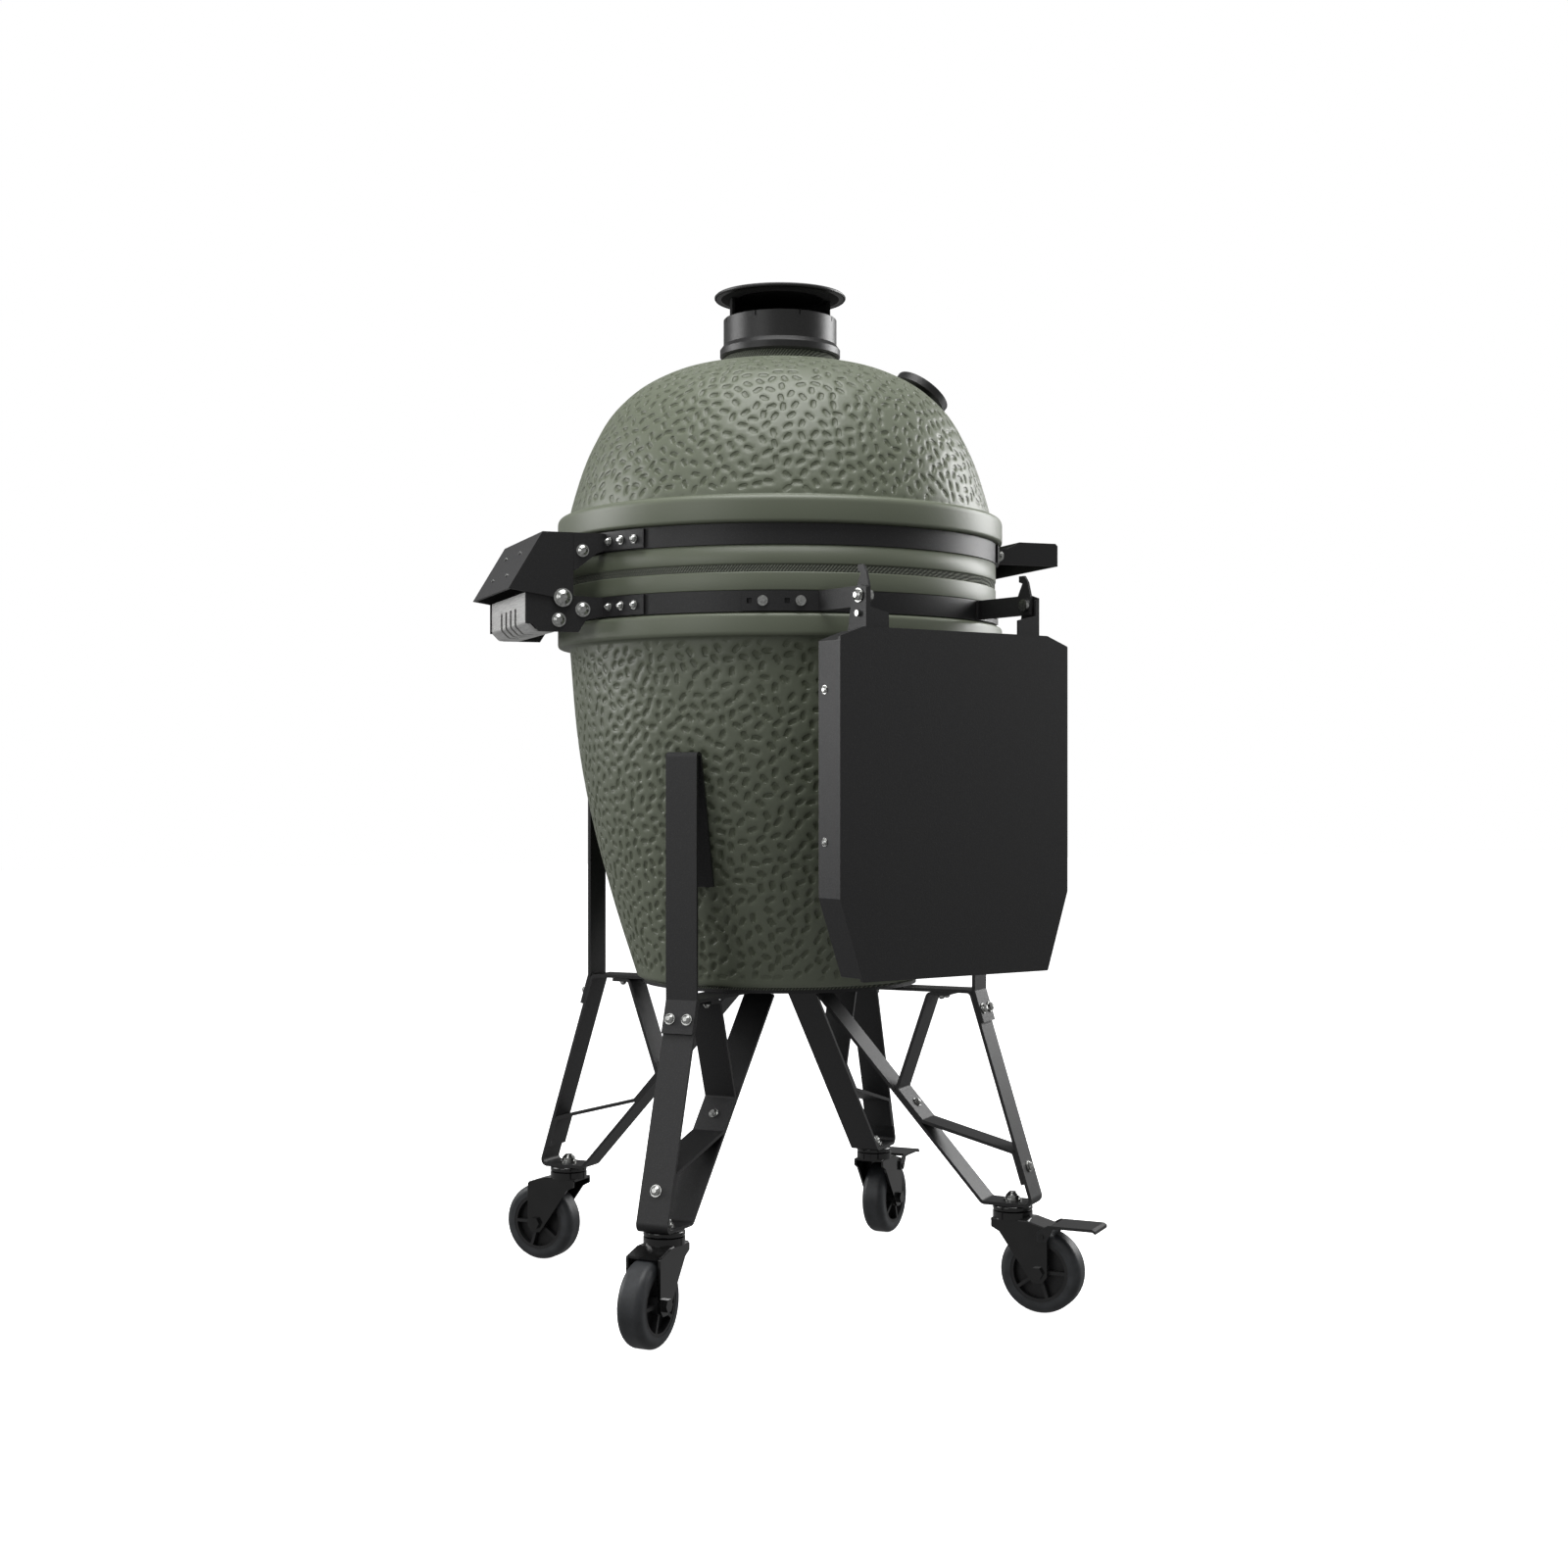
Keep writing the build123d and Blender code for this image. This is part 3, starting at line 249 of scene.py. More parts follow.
def seasoned_iron(tree, place, shader):
    crust = noise(tree, place, 4.0, 5.0, 0.65).outputs["Fac"]
    tree.links.new(ramp(tree, crust, ((0.3, "#201e1d"), (0.7, "#3d3a38"))),
                   shader.inputs["Base Color"])
    shader.inputs["Metallic"].default_value = 0.4
    shader.inputs["Roughness"].default_value = 0.6
    bump(tree, shader, crust, 0.0006, 0.7)


zinc = finish_material("zinc_plated_steel", zinc_plate)
stainless = finish_material("brushed_stainless_sheet", brushed_stainless)
iron = finish_material("seasoned_cast_iron", seasoned_iron)
print("metals:", zinc.name, stainless.name, iron.name)

# %% [markdown]
# ## Felt, fire clay, rubber and plastic
# The seals are woven high-temperature felt. One slanting wave, multiplied by fine
# noise, gives the weave. Real thread lies about 1 mm apart, which is too fine to show,
# so it is drawn about three times as coarse. Fire clay is porous and pale. The tyres
# are dark grey thermoplastic rubber, and the hubs are moulded nylon.

# %% Soft, porous and moulded materials
WEAVE_SCALE = 1000 / 7.536


def woven_felt(tree, place, shader):
    across = add(tree, "ShaderNodeTexWave", {"Vector": place, "Scale": WEAVE_SCALE,
                                             "Distortion": 1.5, "Detail": 1.0},
                 wave_type="BANDS", bands_direction="DIAGONAL").outputs["Fac"]
    fuzz = noise(tree, place, 1.5, 3.0).outputs["Fac"]
    weave = add(tree, "ShaderNodeMath", {0: across, 1: fuzz}, operation="MULTIPLY").outputs[0]
    tree.links.new(ramp(tree, weave, ((0.1, "#3b3e36"), (0.6, "#7c8074"))),
                   shader.inputs["Base Color"])
    shader.inputs["Roughness"].default_value = 0.9
    bump(tree, shader, weave, 0.0008, 0.9)


def porous_clay(tree, place, shader):
    pores = noise(tree, place, 3.0, 5.0, 0.7).outputs["Fac"]
    soot_and_gap_shade = noise(tree, place, 70, 3.0).outputs["Fac"]
    both = add(tree, "ShaderNodeMath", {0: pores, 1: soot_and_gap_shade}, operation="MULTIPLY").outputs[0]
    tree.links.new(ramp(tree, both, ((0.1, "#8d7b64"), (0.4, "#c2b298"))),
                   shader.inputs["Base Color"])
    shader.inputs["Roughness"].default_value = 0.85
    bump(tree, shader, pores, 0.0006, 0.8)


def tyre_rubber(tree, place, shader):
    dust = noise(tree, place, 14, 4.0).outputs["Fac"]
    tree.links.new(ramp(tree, dust, ((0.3, "#292b2d"), (0.75, "#3a3c3f"))),
                   shader.inputs["Base Color"])
    shader.inputs["Roughness"].default_value = 0.48
    bump(tree, shader, noise(tree, place, 1.2, 2.0).outputs["Fac"], 0.0002, 0.4)


def moulded_nylon(tree, place, shader):
    grain = noise(tree, place, 1.4, 2.0).outputs["Fac"]
    tree.links.new(ramp(tree, grain, ((0.3, "#19191a"), (0.7, "#262627"))),
                   shader.inputs["Base Color"])
    shader.inputs["Roughness"].default_value = 0.45
    bump(tree, shader, grain, 0.0002, 0.5)


felt = finish_material("woven_ceramic_felt", woven_felt)
clay = finish_material("unglazed_fire_clay", porous_clay)
rubber = finish_material("grey_tyre_rubber", tyre_rubber)
nylon = finish_material("moulded_nylon_black", moulded_nylon)
print("soft and moulded:", felt.name, clay.name, rubber.name, nylon.name)

# %% [markdown]
# ## The gauge
# The dial is screen-printed on white enamel, under flat glass, in a case that takes
# the vent's black paint. Glass is a shader with full transmission, so the needle and
# the dial show through it, and a faint smear keeps it from looking perfect.

# %% Gauge materials
def white_enamel(tree, place, shader):
    tree.links.new(ramp(tree, noise(tree, place, 9).outputs["Fac"],
                        ((0.3, "#e9e8e0"), (0.7, "#f3f2ec"))), shader.inputs["Base Color"])
    shader.inputs["Roughness"].default_value = 0.35


def printed_ink(tree, place, shader):
    tree.links.new(ramp(tree, noise(tree, place, 2).outputs["Fac"],
                        ((0.3, "#151515"), (0.7, "#242424"))), shader.inputs["Base Color"])
    shader.inputs["Roughness"].default_value = 0.6


def needle_paint(tree, place, shader):
    tree.links.new(ramp(tree, noise(tree, place, 3).outputs["Fac"],
                        ((0.3, "#9c221b"), (0.7, "#b22c22"))), shader.inputs["Base Color"])
    shader.inputs["Roughness"].default_value = 0.35


def flat_glass(tree, place, shader):
    smear = noise(tree, place, 18, 2.0).outputs["Fac"]
    rough = add(tree, "ShaderNodeMapRange", {"Value": smear, "To Min": 0.0, "To Max": 0.06})
    tree.links.new(rough.outputs["Result"], shader.inputs["Roughness"])
    shader.inputs["Base Color"].default_value = linear("#f4f8f8")
    shader.inputs["Transmission Weight"].default_value = 1.0
    shader.inputs["IOR"].default_value = 1.45


enamel = finish_material("white_enamelled_dial", white_enamel)
ink = finish_material("screen_printed_ink", printed_ink)
red_paint = finish_material("red_needle_paint", needle_paint)
glass = finish_material("clear_gauge_glass", flat_glass)
print("gauge:", enamel.name, ink.name, red_paint.name, glass.name)

# %% [markdown]
# ## Dress the frame
# The record gives each CAD node a material slot. The table below gives each slot its
# finish, so a finish is chosen once, however many nodes share it.

# %% Materials by slot
finishes = {
    "glazed_ceramic_green": glaze, "felt_seal": felt, "powder_coated_steel": powder,
    "zinc_bolts": zinc, "stainless_guard": stainless, "cast_vent_black": cast_paint,
    "fire_clay": clay, "cast_grate": iron, "gauge_case_black": cast_paint, "dial_face": enamel,
    "needle_red": red_paint, "gauge_glass": glass, "caster_gloss_black": gloss,
    "tyre_rubber": rubber, "hub_plastic": nylon,
}
for entry in frame["record"]["subparts"]:
    for place in nodes[entry["node"]].material_slots:
        place.material = finishes[entry["material_slot"]]
print("finishes on", len(nodes), "nodes")

# %% [markdown]
# ## The ceramic shells
# Each shell is a body of revolution. A lathe outline is simple to write as rows of
# radius and height, and the outline here repeats the CAD's: shares of the wall radius
# against shares of the height. Rows are packed closely only where the dimples are, so
# that the relief is smooth and the file stays light. A third number on each row says
# how much of the relief it takes, and it fades to nothing at the smooth lips.

# %% Outlines of bowl and dome
bowl_low, bowl_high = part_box("base_bowl")
dome_low, dome_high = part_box("lid_dome")
LIP_OUT, RING_IN, SEAT_IN, RIM_OUT = 15 * MM, 8 * MM, 10.2 * MM, 2 * MM
lip_r = float(bowl_high[0])
wall_r = lip_r - LIP_OUT
ring_r = lip_r - RING_IN
seat_r = lip_r - SEAT_IN
wall = 24 * MM
rim_r = wall_r - wall + RIM_OUT
chimney_r = 55 * MM
RING, BAND_GAP, SEAT = 21.6 * MM, 1 * MM, 26.4 * MM
FADE = 12 * MM
dome_shape = ((1.0, 0.0), (0.992, 0.07), (0.94, 0.3), (0.883, 0.477), (0.804, 0.655),
              (0.687, 0.807), (0.551, 0.909), (0.434, 0.959), (0.283, 1.0))
bowl_shape = ((0.687, 0.0), (0.768, 0.166), (0.83, 0.307), (0.883, 0.44),
              (0.934, 0.6), (0.97, 0.765), (1.0, 1.0))
print("shells: wall radius", wall_r, "lip radius", lip_r)


def smooth_line(points, step):
    """Points evenly spaced along a smooth curve through the given ones."""
    knots = [np.array(p, float) for p in points]
    knots = [2 * knots[0] - knots[1]] + knots + [2 * knots[-1] - knots[-2]]
    fine = []
    for a, b, c, d in zip(knots, knots[1:], knots[2:], knots[3:]):
        for t in np.linspace(0, 1, 40, endpoint=False):
            fine.append(0.5 * (2 * b + (c - a) * t + (2 * a - 5 * b + 4 * c - d) * t ** 2
                               + (3 * b - a - 3 * c + d) * t ** 3))
    fine = np.array(fine + [knots[-2]])
    length = np.r_[0, np.cumsum(np.linalg.norm(np.diff(fine, axis=0), axis=1))]
    even = np.linspace(0, length[-1], max(2, round(length[-1] / step)))
    return [(np.interp(s, length, fine[:, 0]), np.interp(s, length, fine[:, 1])) for s in even]


def relief_rows(points, fade):
    """Rows of a dimpled stretch: the relief fades over the given length at its ends."""
    rows, count = [], len(points)
    step = math.dist(points[0], points[1])
    for i, (r, z) in enumerate(points):
        near_end = min(i, count - 1 - i) * step
        rows.append((r, z, min(1.0, near_end / fade)))
    return rows


def plain(points):
    """Rows without relief."""
    return [(r, z, 0.0) for r, z in points]


def inner_side(points, thickness):
    """The inside of a wall, back from its last point to its first."""
    inside = []
    for i, (r, z) in enumerate(points):
        before, after = points[max(i - 1, 0)], points[min(i + 1, len(points) - 1)]
        dr, dz = after[0] - before[0], after[1] - before[1]
        length = math.hypot(dr, dz)
        inside.append((r - thickness * dz / length, z + thickness * dr / length))
    return inside[::-1]


def rounded(corner_a, corner, corner_b, radius, steps=5):
    """A quarter-round instead of a sharp lathe corner."""
    a, c, b = (np.array(p, float) for p in (corner_a, corner, corner_b))
    start = c + (a - c) / np.linalg.norm(a - c) * radius
    end = c + (b - c) / np.linalg.norm(b - c) * radius
    return [tuple((1 - t) ** 2 * start + 2 * t * (1 - t) * c + t ** 2 * end)
            for t in np.linspace(0, 1, steps)]

# %% Lathe
SEGMENTS = 520


def lathe(name, rows, segments=SEGMENTS):
    """A mesh turned from rows of (radius, height, relief). Radius 0 closes a pole."""
    turn = np.arange(segments) * 2 * math.pi / segments
    points, faces, start = [], [], []
    for r, z, _ in rows:
        start.append(len(points))
        if r <= 0:
            points.append((0.0, 0.0, z))
        else:
            points += [(r * math.cos(a), r * math.sin(a), z) for a in turn]
    pairs = list(zip(range(len(rows)), list(range(1, len(rows))) + [0]))
    for low, high in pairs:
        a, b = start[low], start[high]
        pole_a, pole_b = rows[low][0] <= 0, rows[high][0] <= 0
        if pole_a and pole_b:
            continue
        for i in range(segments):
            j = (i + 1) % segments
            if pole_a:
                faces.append((a, b + j, b + i))
            elif pole_b:
                faces.append((a + i, a + j, b))
            else:
                faces.append((a + i, a + j, b + j, b + i))
    mesh = bpy.data.meshes.new(name)
    mesh.from_pydata(points, [], faces)
    relief = mesh.attributes.new("relief", "FLOAT", "POINT")
    values = []
    for r, _, share in rows:
        values += [share] * (1 if r <= 0 else segments)
    relief.data.foreach_set("value", values)
    mesh.shade_smooth()
    made = bpy.data.objects.new(name, mesh)
    bpy.context.scene.collection.objects.link(made)
    return made


print("lathe:", SEGMENTS, "segments, one every", 360 / SEGMENTS, "degrees")

# %% [markdown]
# ## Dimples with Geometry Nodes
# The shell's relief is a field of pill-shaped pits, about 14 by 8 mm, scattered evenly
# and lying every way, with a raised net between them. The tree below scatters points
# over the shell with a smallest distance between them, and gives each point a random
# direction along the surface. Every corner of the mesh then finds its nearest point and
# measures how far it is from that pill's middle line. Close to the line it is pushed in.
# The depth is kept in the attribute named sunk, and the distance to the pill's line in
# the attribute named pill. The glaze reads both: the mesh gives the pit, and the bump
# sharpens its edge, which is finer than the mesh.

# %% The dimple tree
PILL_SIZES = (("Spacing", 0.0132), ("Depth", 0.0018), ("Pill Length", 0.0060),
              ("Flat Width", 0.0016), ("Edge Width", 0.0038))
MOST_POINTS, SCATTER_SEED, TURN_SEED = 40000.0, 7, 3


def dimple_tree():
    tree = bpy.data.node_groups.new("pill_dimples", "GeometryNodeTree")
    sockets = tree.interface
    sockets.new_socket("Geometry", in_out="INPUT", socket_type="NodeSocketGeometry")
    for name, value in PILL_SIZES:
        made = sockets.new_socket(name, in_out="INPUT", socket_type="NodeSocketFloat")
        made.default_value = value
    sockets.new_socket("Geometry", in_out="OUTPUT", socket_type="NodeSocketGeometry")
    given = add(tree, "NodeGroupInput").outputs
    place = add(tree, "GeometryNodeInputPosition").outputs["Position"]
    normal = add(tree, "GeometryNodeInputNormal").outputs["Normal"]

    scatter = add(tree, "GeometryNodeDistributePointsOnFaces",
                  {"Mesh": given["Geometry"], "Distance Min": given["Spacing"],
                   "Density Max": MOST_POINTS, "Density Factor": 1.0,
                   "Seed": SCATTER_SEED},
                  distribute_method="POISSON")
    points = scatter.outputs["Points"]
    loose = add(tree, "FunctionNodeRandomValue", {"Min": (-1.0,) * 3, "Max": (1.0,) * 3,
                                                  "Seed": TURN_SEED},
                data_type="FLOAT_VECTOR")
    along = add(tree, "ShaderNodeVectorMath", {0: scatter.outputs["Normal"],
                                               1: loose.outputs["Value"]},
                operation="CROSS_PRODUCT")
    unit = add(tree, "ShaderNodeVectorMath", {0: along.outputs["Vector"]},
               operation="NORMALIZE").outputs["Vector"]
    marked = add(tree, "GeometryNodeStoreNamedAttribute",
                 {"Geometry": points, "Name": "lie", "Value": unit},
                 data_type="FLOAT_VECTOR", domain="POINT").outputs["Geometry"]

    nearest = add(tree, "GeometryNodeSampleNearest", {"Geometry": marked},
                  domain="POINT").outputs["Index"]
    middle = add(tree, "GeometryNodeSampleIndex", {"Geometry": marked, "Value": place,
                                                   "Index": nearest},
                 data_type="FLOAT_VECTOR").outputs["Value"]
    lie = add(tree, "GeometryNodeInputNamedAttribute", {"Name": "lie"},
              data_type="FLOAT_VECTOR").outputs["Attribute"]
    line = add(tree, "GeometryNodeSampleIndex", {"Geometry": marked, "Value": lie,
                                                 "Index": nearest},
               data_type="FLOAT_VECTOR").outputs["Value"]
    apart = add(tree, "ShaderNodeVectorMath", {0: place, 1: middle},
                operation="SUBTRACT").outputs["Vector"]
    travel = add(tree, "ShaderNodeVectorMath", {0: apart, 1: line},
                 operation="DOT_PRODUCT").outputs["Value"]
    half = add(tree, "ShaderNodeMath", {0: given["Pill Length"], 1: 0.5},
               operation="MULTIPLY").outputs[0]
    back = add(tree, "ShaderNodeMath", {0: half, 1: -1.0}, operation="MULTIPLY").outputs[0]
    held = add(tree, "ShaderNodeClamp", {"Value": travel, "Min": back, "Max": half})
    step = add(tree, "ShaderNodeVectorMath", {0: line, "Scale": held.outputs["Result"]},
               operation="SCALE").outputs["Vector"]
    away = add(tree, "ShaderNodeVectorMath", {0: apart, 1: step},
               operation="DISTANCE").outputs["Value"]
    pit = add(tree, "ShaderNodeMapRange", {"Value": away, "From Min": given["Flat Width"],
                                           "From Max": given["Edge Width"],
                                           "To Min": 1.0, "To Max": 0.0},
              interpolation_type="SMOOTHSTEP")

    share = add(tree, "GeometryNodeInputNamedAttribute", {"Name": "relief"},
                data_type="FLOAT").outputs["Attribute"]
    sunk = add(tree, "ShaderNodeMath", {0: pit.outputs["Result"], 1: share},
               operation="MULTIPLY").outputs[0]
    depth = add(tree, "ShaderNodeMath", {0: sunk, 1: given["Depth"]},
                operation="MULTIPLY").outputs[0]
    inward = add(tree, "ShaderNodeMath", {0: depth, 1: -1.0}, operation="MULTIPLY")
    push = add(tree, "ShaderNodeVectorMath", {0: normal, "Scale": inward.outputs[0]},
               operation="SCALE")
    kept = add(tree, "GeometryNodeStoreNamedAttribute",
               {"Geometry": given["Geometry"], "Name": "sunk", "Value": sunk},
               data_type="FLOAT", domain="POINT")
    traced = add(tree, "GeometryNodeStoreNamedAttribute",
                 {"Geometry": kept.outputs["Geometry"], "Name": "pill", "Value": away},
                 data_type="FLOAT", domain="POINT")
    moved = add(tree, "GeometryNodeSetPosition", {"Geometry": traced.outputs["Geometry"],
                                                  "Offset": push.outputs["Vector"]})
    real = add(tree, "GeometryNodeRealizeInstances", {"Geometry": moved.outputs["Geometry"]})
    dressed = add(tree, "GeometryNodeSetMaterial", {"Geometry": real.outputs["Geometry"],
                                                    "Material": glaze})
    add(tree, "NodeGroupOutput", {"Geometry": dressed.outputs["Geometry"]})
    return tree


def settle(piece, live):
    """Keeps what a live modifier makes of a piece as the piece's plain mesh."""
    view = bpy.context.evaluated_depsgraph_get()
    result = bpy.data.meshes.new_from_object(piece.evaluated_get(view),
                                             preserve_all_data_layers=True, depsgraph=view)
    piece.modifiers.remove(live)
    piece.data = result


def grow(piece, tree):
    """Runs a tree on a piece, with the tree's own sizes, and keeps the result."""
    live = piece.modifiers.new(tree.name, "NODES")
    live.node_group = tree
    settle(piece, live)
    piece.data.name = piece.name
    return piece


dimples = dimple_tree()
print("dimple tree:", len(dimples.nodes), "nodes")

# %% [markdown]
# ## The bowl
# The bowl stands on a flat base with a rounded edge. Above the dimpled wall comes a
# smooth lip that stands proud, then the narrower ring that the steel band grips. One
# outline holds all of it, outside and inside, so that the wall is closed.

# %% The bowl
BOWL_STEP, BOWL_INNER_STEP = 3.05 * MM, 16 * MM
FOOT, LIP_LOW, LIP_TOP, FLOOR = 7 * MM, 404 * MM, 430 * MM, 40 * MM
foot = bowl_low[2] + FOOT
lip_low, lip_top = foot + LIP_LOW, foot + LIP_TOP
seam = float(bowl_high[2])
ring_low = seam - RING
bowl_curve = [(wall_r * a, foot + (lip_low - foot) * b) for a, b in bowl_shape]
outer = smooth_line(bowl_curve, BOWL_STEP)
floor_z = bowl_low[2] + FLOOR
inner = inner_side(smooth_line(bowl_curve, BOWL_INNER_STEP), wall)
inside = [p for p in inner if p[1] > floor_z]
lip = (rounded(outer[-1], (lip_r, lip_low), (lip_r, lip_top), 5 * MM)
       + rounded((lip_r, lip_low), (lip_r, lip_top), (seat_r, lip_top), 5 * MM)
       + [(seat_r, lip_top), (seat_r, ring_low)]
       + rounded((seat_r, ring_low), (ring_r, ring_low), (ring_r, seam), 1 * MM, 3)
       + rounded((ring_r, ring_low), (ring_r, seam), (rim_r, seam), 2 * MM, 3)
       + [(rim_r, seam)])
base = rounded((outer[0][0] - 30 * MM, bowl_low[2]), (outer[0][0] - 2 * MM, bowl_low[2]),
               outer[0], 5 * MM)
rows = (plain([(0.0, float(bowl_low[2]))] + base) + relief_rows(outer, FADE)
        + plain(lip + inside + [(inside[-1][0] - 3 * MM, floor_z), (0.0, floor_z)]))
bowl = grow(lathe("glazed_bowl", rows), dimples)
print("bowl:", len(bowl.data.polygons), "faces")

# %% [markdown]
# ## The draught opening
# Air reaches the coals through a sleeve in the bowl's front. A boolean cuts the wall for
# it. A box is a simple cutter, and the boolean is applied at once, so that the bowl is a
# plain mesh again before it rides on its body.

# %% The draught opening
sleeve_low, sleeve_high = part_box("draft_frame")
SLEEVE_HALF, SLEEVE_GAP, PAST_FRONT, CUT_END = 75.5 * MM, 0.5 * MM, 40 * MM, -140 * MM
cutter_mesh = bpy.data.meshes.new("sleeve_cutter")
corners = [(x, y, z) for x in (-SLEEVE_HALF, SLEEVE_HALF)
           for y in (sleeve_low[1] - PAST_FRONT, CUT_END)
           for z in (sleeve_low[2] - SLEEVE_GAP, sleeve_high[2] + SLEEVE_GAP)]
cutter_mesh.from_pydata(corners, [], [(0, 1, 3, 2), (4, 6, 7, 5), (0, 4, 5, 1),
                                      (2, 3, 7, 6), (0, 2, 6, 4), (1, 5, 7, 3)])
cutter = bpy.data.objects.new("sleeve_cutter", cutter_mesh)
bpy.context.scene.collection.objects.link(cutter)
cut = bowl.modifiers.new("sleeve", "BOOLEAN")
cut.object, cut.operation, cut.solver = cutter, "DIFFERENCE", "EXACT"
settle(bowl, cut)
bpy.data.objects.remove(cutter)
print("bowl, cut:", len(bowl.data.polygons), "faces")
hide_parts("base_bowl")
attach(bowl, "base")

# %% [markdown]
# ## The dome
# The dome is the bowl's mirror: ring, lip and dimpled wall, closing in on the chimney.
# Its lip is taller, with a softer upper edge. The same lathe and the same tree make it.

# %% The dome
DOME_STEP, DOME_INNER_STEP = 2.9 * MM, 14 * MM
DOME_LIP = 32 * MM
rim = float(dome_low[2])
band_z, dome_lip_low = rim + RING + BAND_GAP, rim + RING + SEAT
dome_lip_top = dome_lip_low + DOME_LIP
dome_top = float(dome_high[2])
dome_curve = [(wall_r * a, dome_lip_top + (dome_top - dome_lip_top) * b)
              for a, b in dome_shape]
outer = smooth_line(dome_curve, DOME_STEP)
inside = inner_side(smooth_line(dome_curve, DOME_INNER_STEP), wall)
inside[0] = (chimney_r, inside[0][1])
lip = ([(rim_r, rim)]
       + rounded((rim_r, rim), (ring_r, rim), (ring_r, band_z), 2 * MM, 3)
       + [(ring_r, band_z - 0.4 * MM), (seat_r, band_z), (seat_r, dome_lip_low)]
       + rounded((seat_r, dome_lip_low), (lip_r, dome_lip_low), (lip_r, dome_lip_top), 4 * MM)
       + rounded((lip_r, dome_lip_low), (lip_r, dome_lip_top), outer[0], 9 * MM, 8))
rows = (plain(lip) + relief_rows(outer, FADE)
        + plain([(chimney_r, dome_top)] + inside))
dome = grow(lathe("glazed_dome", rows), dimples)
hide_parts("lid_dome")
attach(dome, "lid")
print("dome:", len(dome.data.polygons), "faces")

# %% [markdown]
# ## Marks on the dial
# A gauge's scale is a row of marks on an arc. Instances on the points of an arc make
# it: one small bar, repeated, each turned to face the middle. The tree ends with
# Realize Instances and Set Material, because an exported model carries no instances.

# %% Dial marks
MARKS, SCALE_START, SCALE_SWEEP = 28, math.radians(-45), math.radians(270)
MARK_WIDTH, MARK_THICKNESS, DIAL_OUT = 0.0008, 0.0003, 18.2 * MM


def marks_tree():
    tree = bpy.data.node_groups.new("dial_marks", "GeometryNodeTree")
    sockets = tree.interface
    sockets.new_socket("Geometry", in_out="INPUT", socket_type="NodeSocketGeometry")
    for name, value in (("Scale Radius", 0.0285), ("Mark Length", 0.004)):
        made = sockets.new_socket(name, in_out="INPUT", socket_type="NodeSocketFloat")
        made.default_value = value
    sockets.new_socket("Geometry", in_out="OUTPUT", socket_type="NodeSocketGeometry")
    given = add(tree, "NodeGroupInput").outputs
    arc = add(tree, "GeometryNodeCurveArc", {"Resolution": MARKS,
                                             "Radius": given["Scale Radius"],
                                             "Start Angle": SCALE_START,
                                             "Sweep Angle": SCALE_SWEEP})
    size = add(tree, "ShaderNodeCombineXYZ", {"X": given["Mark Length"], "Y": MARK_WIDTH,
                                              "Z": MARK_THICKNESS})
    bar = add(tree, "GeometryNodeMeshCube", {"Size": size.outputs["Vector"]})
    place = add(tree, "GeometryNodeInputPosition").outputs["Position"]
    turn = add(tree, "FunctionNodeAlignRotationToVector", {"Vector": place}, axis="X")
    spread = add(tree, "GeometryNodeInstanceOnPoints", {"Points": arc.outputs["Curve"],
                                                        "Instance": bar.outputs["Mesh"],
                                                        "Rotation": turn.outputs["Rotation"]})
    real = add(tree, "GeometryNodeRealizeInstances", {"Geometry": spread.outputs["Instances"]})
    dressed = add(tree, "GeometryNodeSetMaterial", {"Geometry": real.outputs["Geometry"],
                                                    "Material": ink})
    add(tree, "NodeGroupOutput", {"Geometry": dressed.outputs["Geometry"]})
    return tree


marks = bpy.data.objects.new("dial_scale_marks", bpy.data.meshes.new("dial_scale_marks"))
bpy.context.scene.collection.objects.link(marks)
grow(marks, marks_tree())
needle = next(j for j in frame["joints"] if j["name"] == "thermometer_needle_turn")
out = np.array(needle["axis"], float)
side = np.array((1.0, 0.0, 0.0))
up = np.cross(out, side)
dial_face = np.array(needle["pos_m"]) + out * DIAL_OUT
spots = np.empty(len(marks.data.vertices) * 3)
marks.data.vertices.foreach_get("co", spots)
spots = spots.reshape(-1, 3)
placed = dial_face + spots[:, :1] * side + spots[:, 1:2] * up + spots[:, 2:3] * out
marks.data.vertices.foreach_set("co", placed.ravel())
marks.data.update()
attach(marks, "lid")
print("dial:", MARKS, "marks")

# %% [markdown]
# ## Floor, light and camera
# The grill stands on a plain white floor under four large soft lights, as in a product
# studio: one on each side of it, one above, and a weak one near the camera. The air
# gives a little light of its own, and is white where the camera sees it. The camera is
# 0.63 m above the floor, behind and to the left of the grill, with a normal lens.

# %% Studio
def studio_white(tree, place, shader):
    tree.links.new(ramp(tree, noise(tree, place, 900).outputs["Fac"],
                        ((0.3, "#fbfbfb"), (0.7, "#ffffff"))), shader.inputs["Base Color"])
    shader.inputs["Roughness"].default_value = 0.9
    shader.inputs["Emission Color"].default_value = linear("#ffffff")
    shader.inputs["Emission Strength"].default_value = 1.0


EXTENT, DROP = 14.0, 0.0005
floor_mesh = bpy.data.meshes.new("studio_floor")
floor_mesh.from_pydata([(-EXTENT, -EXTENT, -DROP), (EXTENT, -EXTENT, -DROP),
                        (EXTENT, EXTENT, -DROP), (-EXTENT, EXTENT, -DROP)],
                       [], [(0, 1, 2, 3)])
floor_mesh.materials.append(finish_material("studio_white_paper", studio_white))
floor = bpy.data.objects.new("studio_floor", floor_mesh)
bpy.context.scene.collection.objects.link(floor)
floor.visible_diffuse = floor.visible_glossy = False

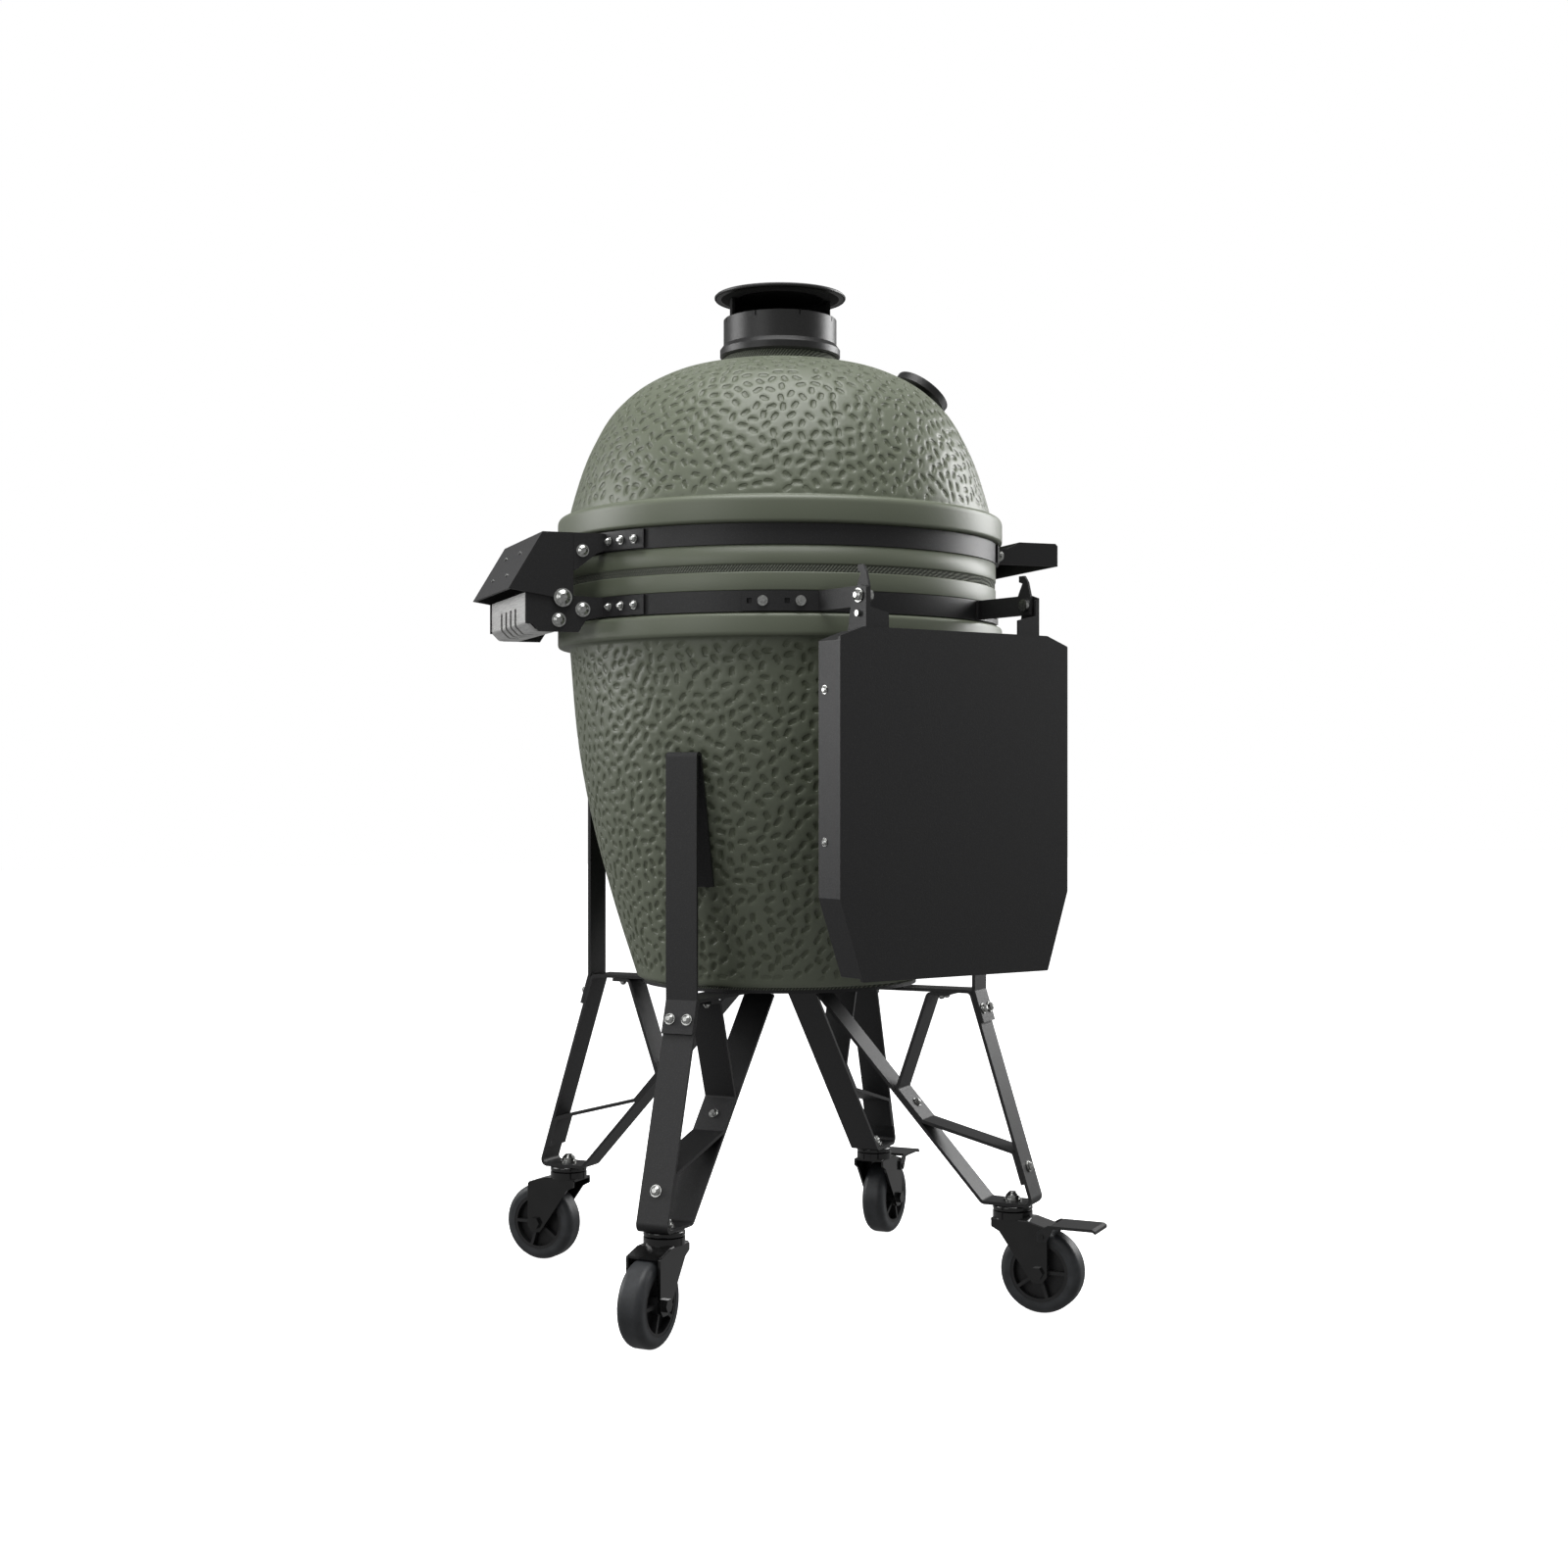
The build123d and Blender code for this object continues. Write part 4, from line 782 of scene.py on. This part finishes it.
world = bpy.data.worlds.new("studio_air")
world.use_nodes = True
sky = world.node_tree
sky.nodes.clear()
seen = add(sky, "ShaderNodeLightPath").outputs["Is Camera Ray"]
AMBIENT, BACKDROP = 0.25, 1.0
strength = add(sky, "ShaderNodeMapRange", {"Value": seen, "To Min": AMBIENT,
                                           "To Max": BACKDROP}).outputs["Result"]
air = add(sky, "ShaderNodeBackground", {"Color": (1.0, 1.0, 1.0, 1.0), "Strength": strength})
add(sky, "ShaderNodeOutputWorld", {"Surface": air.outputs["Background"]})
bpy.context.scene.world = world

view_angle = math.radians(250)
towards = np.array((math.sin(view_angle), -math.cos(view_angle), 0.0))
rightwards = np.array((-towards[1], towards[0], 0.0))


AIM = (0, 0, 0.75)


def soft_light(name, place, size, power):
    """A large area light at a place, facing the grill's middle."""
    lamp = bpy.data.lights.new(name, "AREA")
    lamp.energy, lamp.size, lamp.shape = power, size, "SQUARE"
    made = bpy.data.objects.new(name, lamp)
    bpy.context.scene.collection.objects.link(made)
    made.location = place
    made.rotation_euler = (Vector(place) - Vector(AIM)).to_track_quat("Z", "Y").to_euler()


# Each row: name, metres towards the camera, metres to its right, height, size, watts.
LIGHTS = (("left_light", -0.3, -2.8, 1.5, 1.6, 40), ("right_light", -1.4, 2.5, 1.6, 1.6, 68),
          ("top_light", 0.7, 0.0, 3.4, 2.2, 84), ("camera_light", 2.6, -2.2, 1.4, 1.6, 14))
for name, near, right, height, size, power in LIGHTS:
    soft_light(name, tuple(towards * near + rightwards * right + (0, 0, height)), size, power)
print("lights:", len(LIGHTS))

DISTANCE, EYE_HEIGHT, SIDESTEP, LENS, SENSOR = 2.724, 0.632, 0.005, 49.35, 36.0
camera = bpy.data.objects.new("camera", bpy.data.cameras.new("camera"))
camera.data.lens, camera.data.sensor_width = LENS, SENSOR
camera.location = tuple(towards * DISTANCE + rightwards * SIDESTEP + (0, 0, EYE_HEIGHT))
camera.rotation_euler = (math.radians(90), 0, view_angle)
bpy.context.scene.collection.objects.link(camera)
bpy.context.scene.camera = camera
bpy.context.scene.view_settings.view_transform = "Standard"
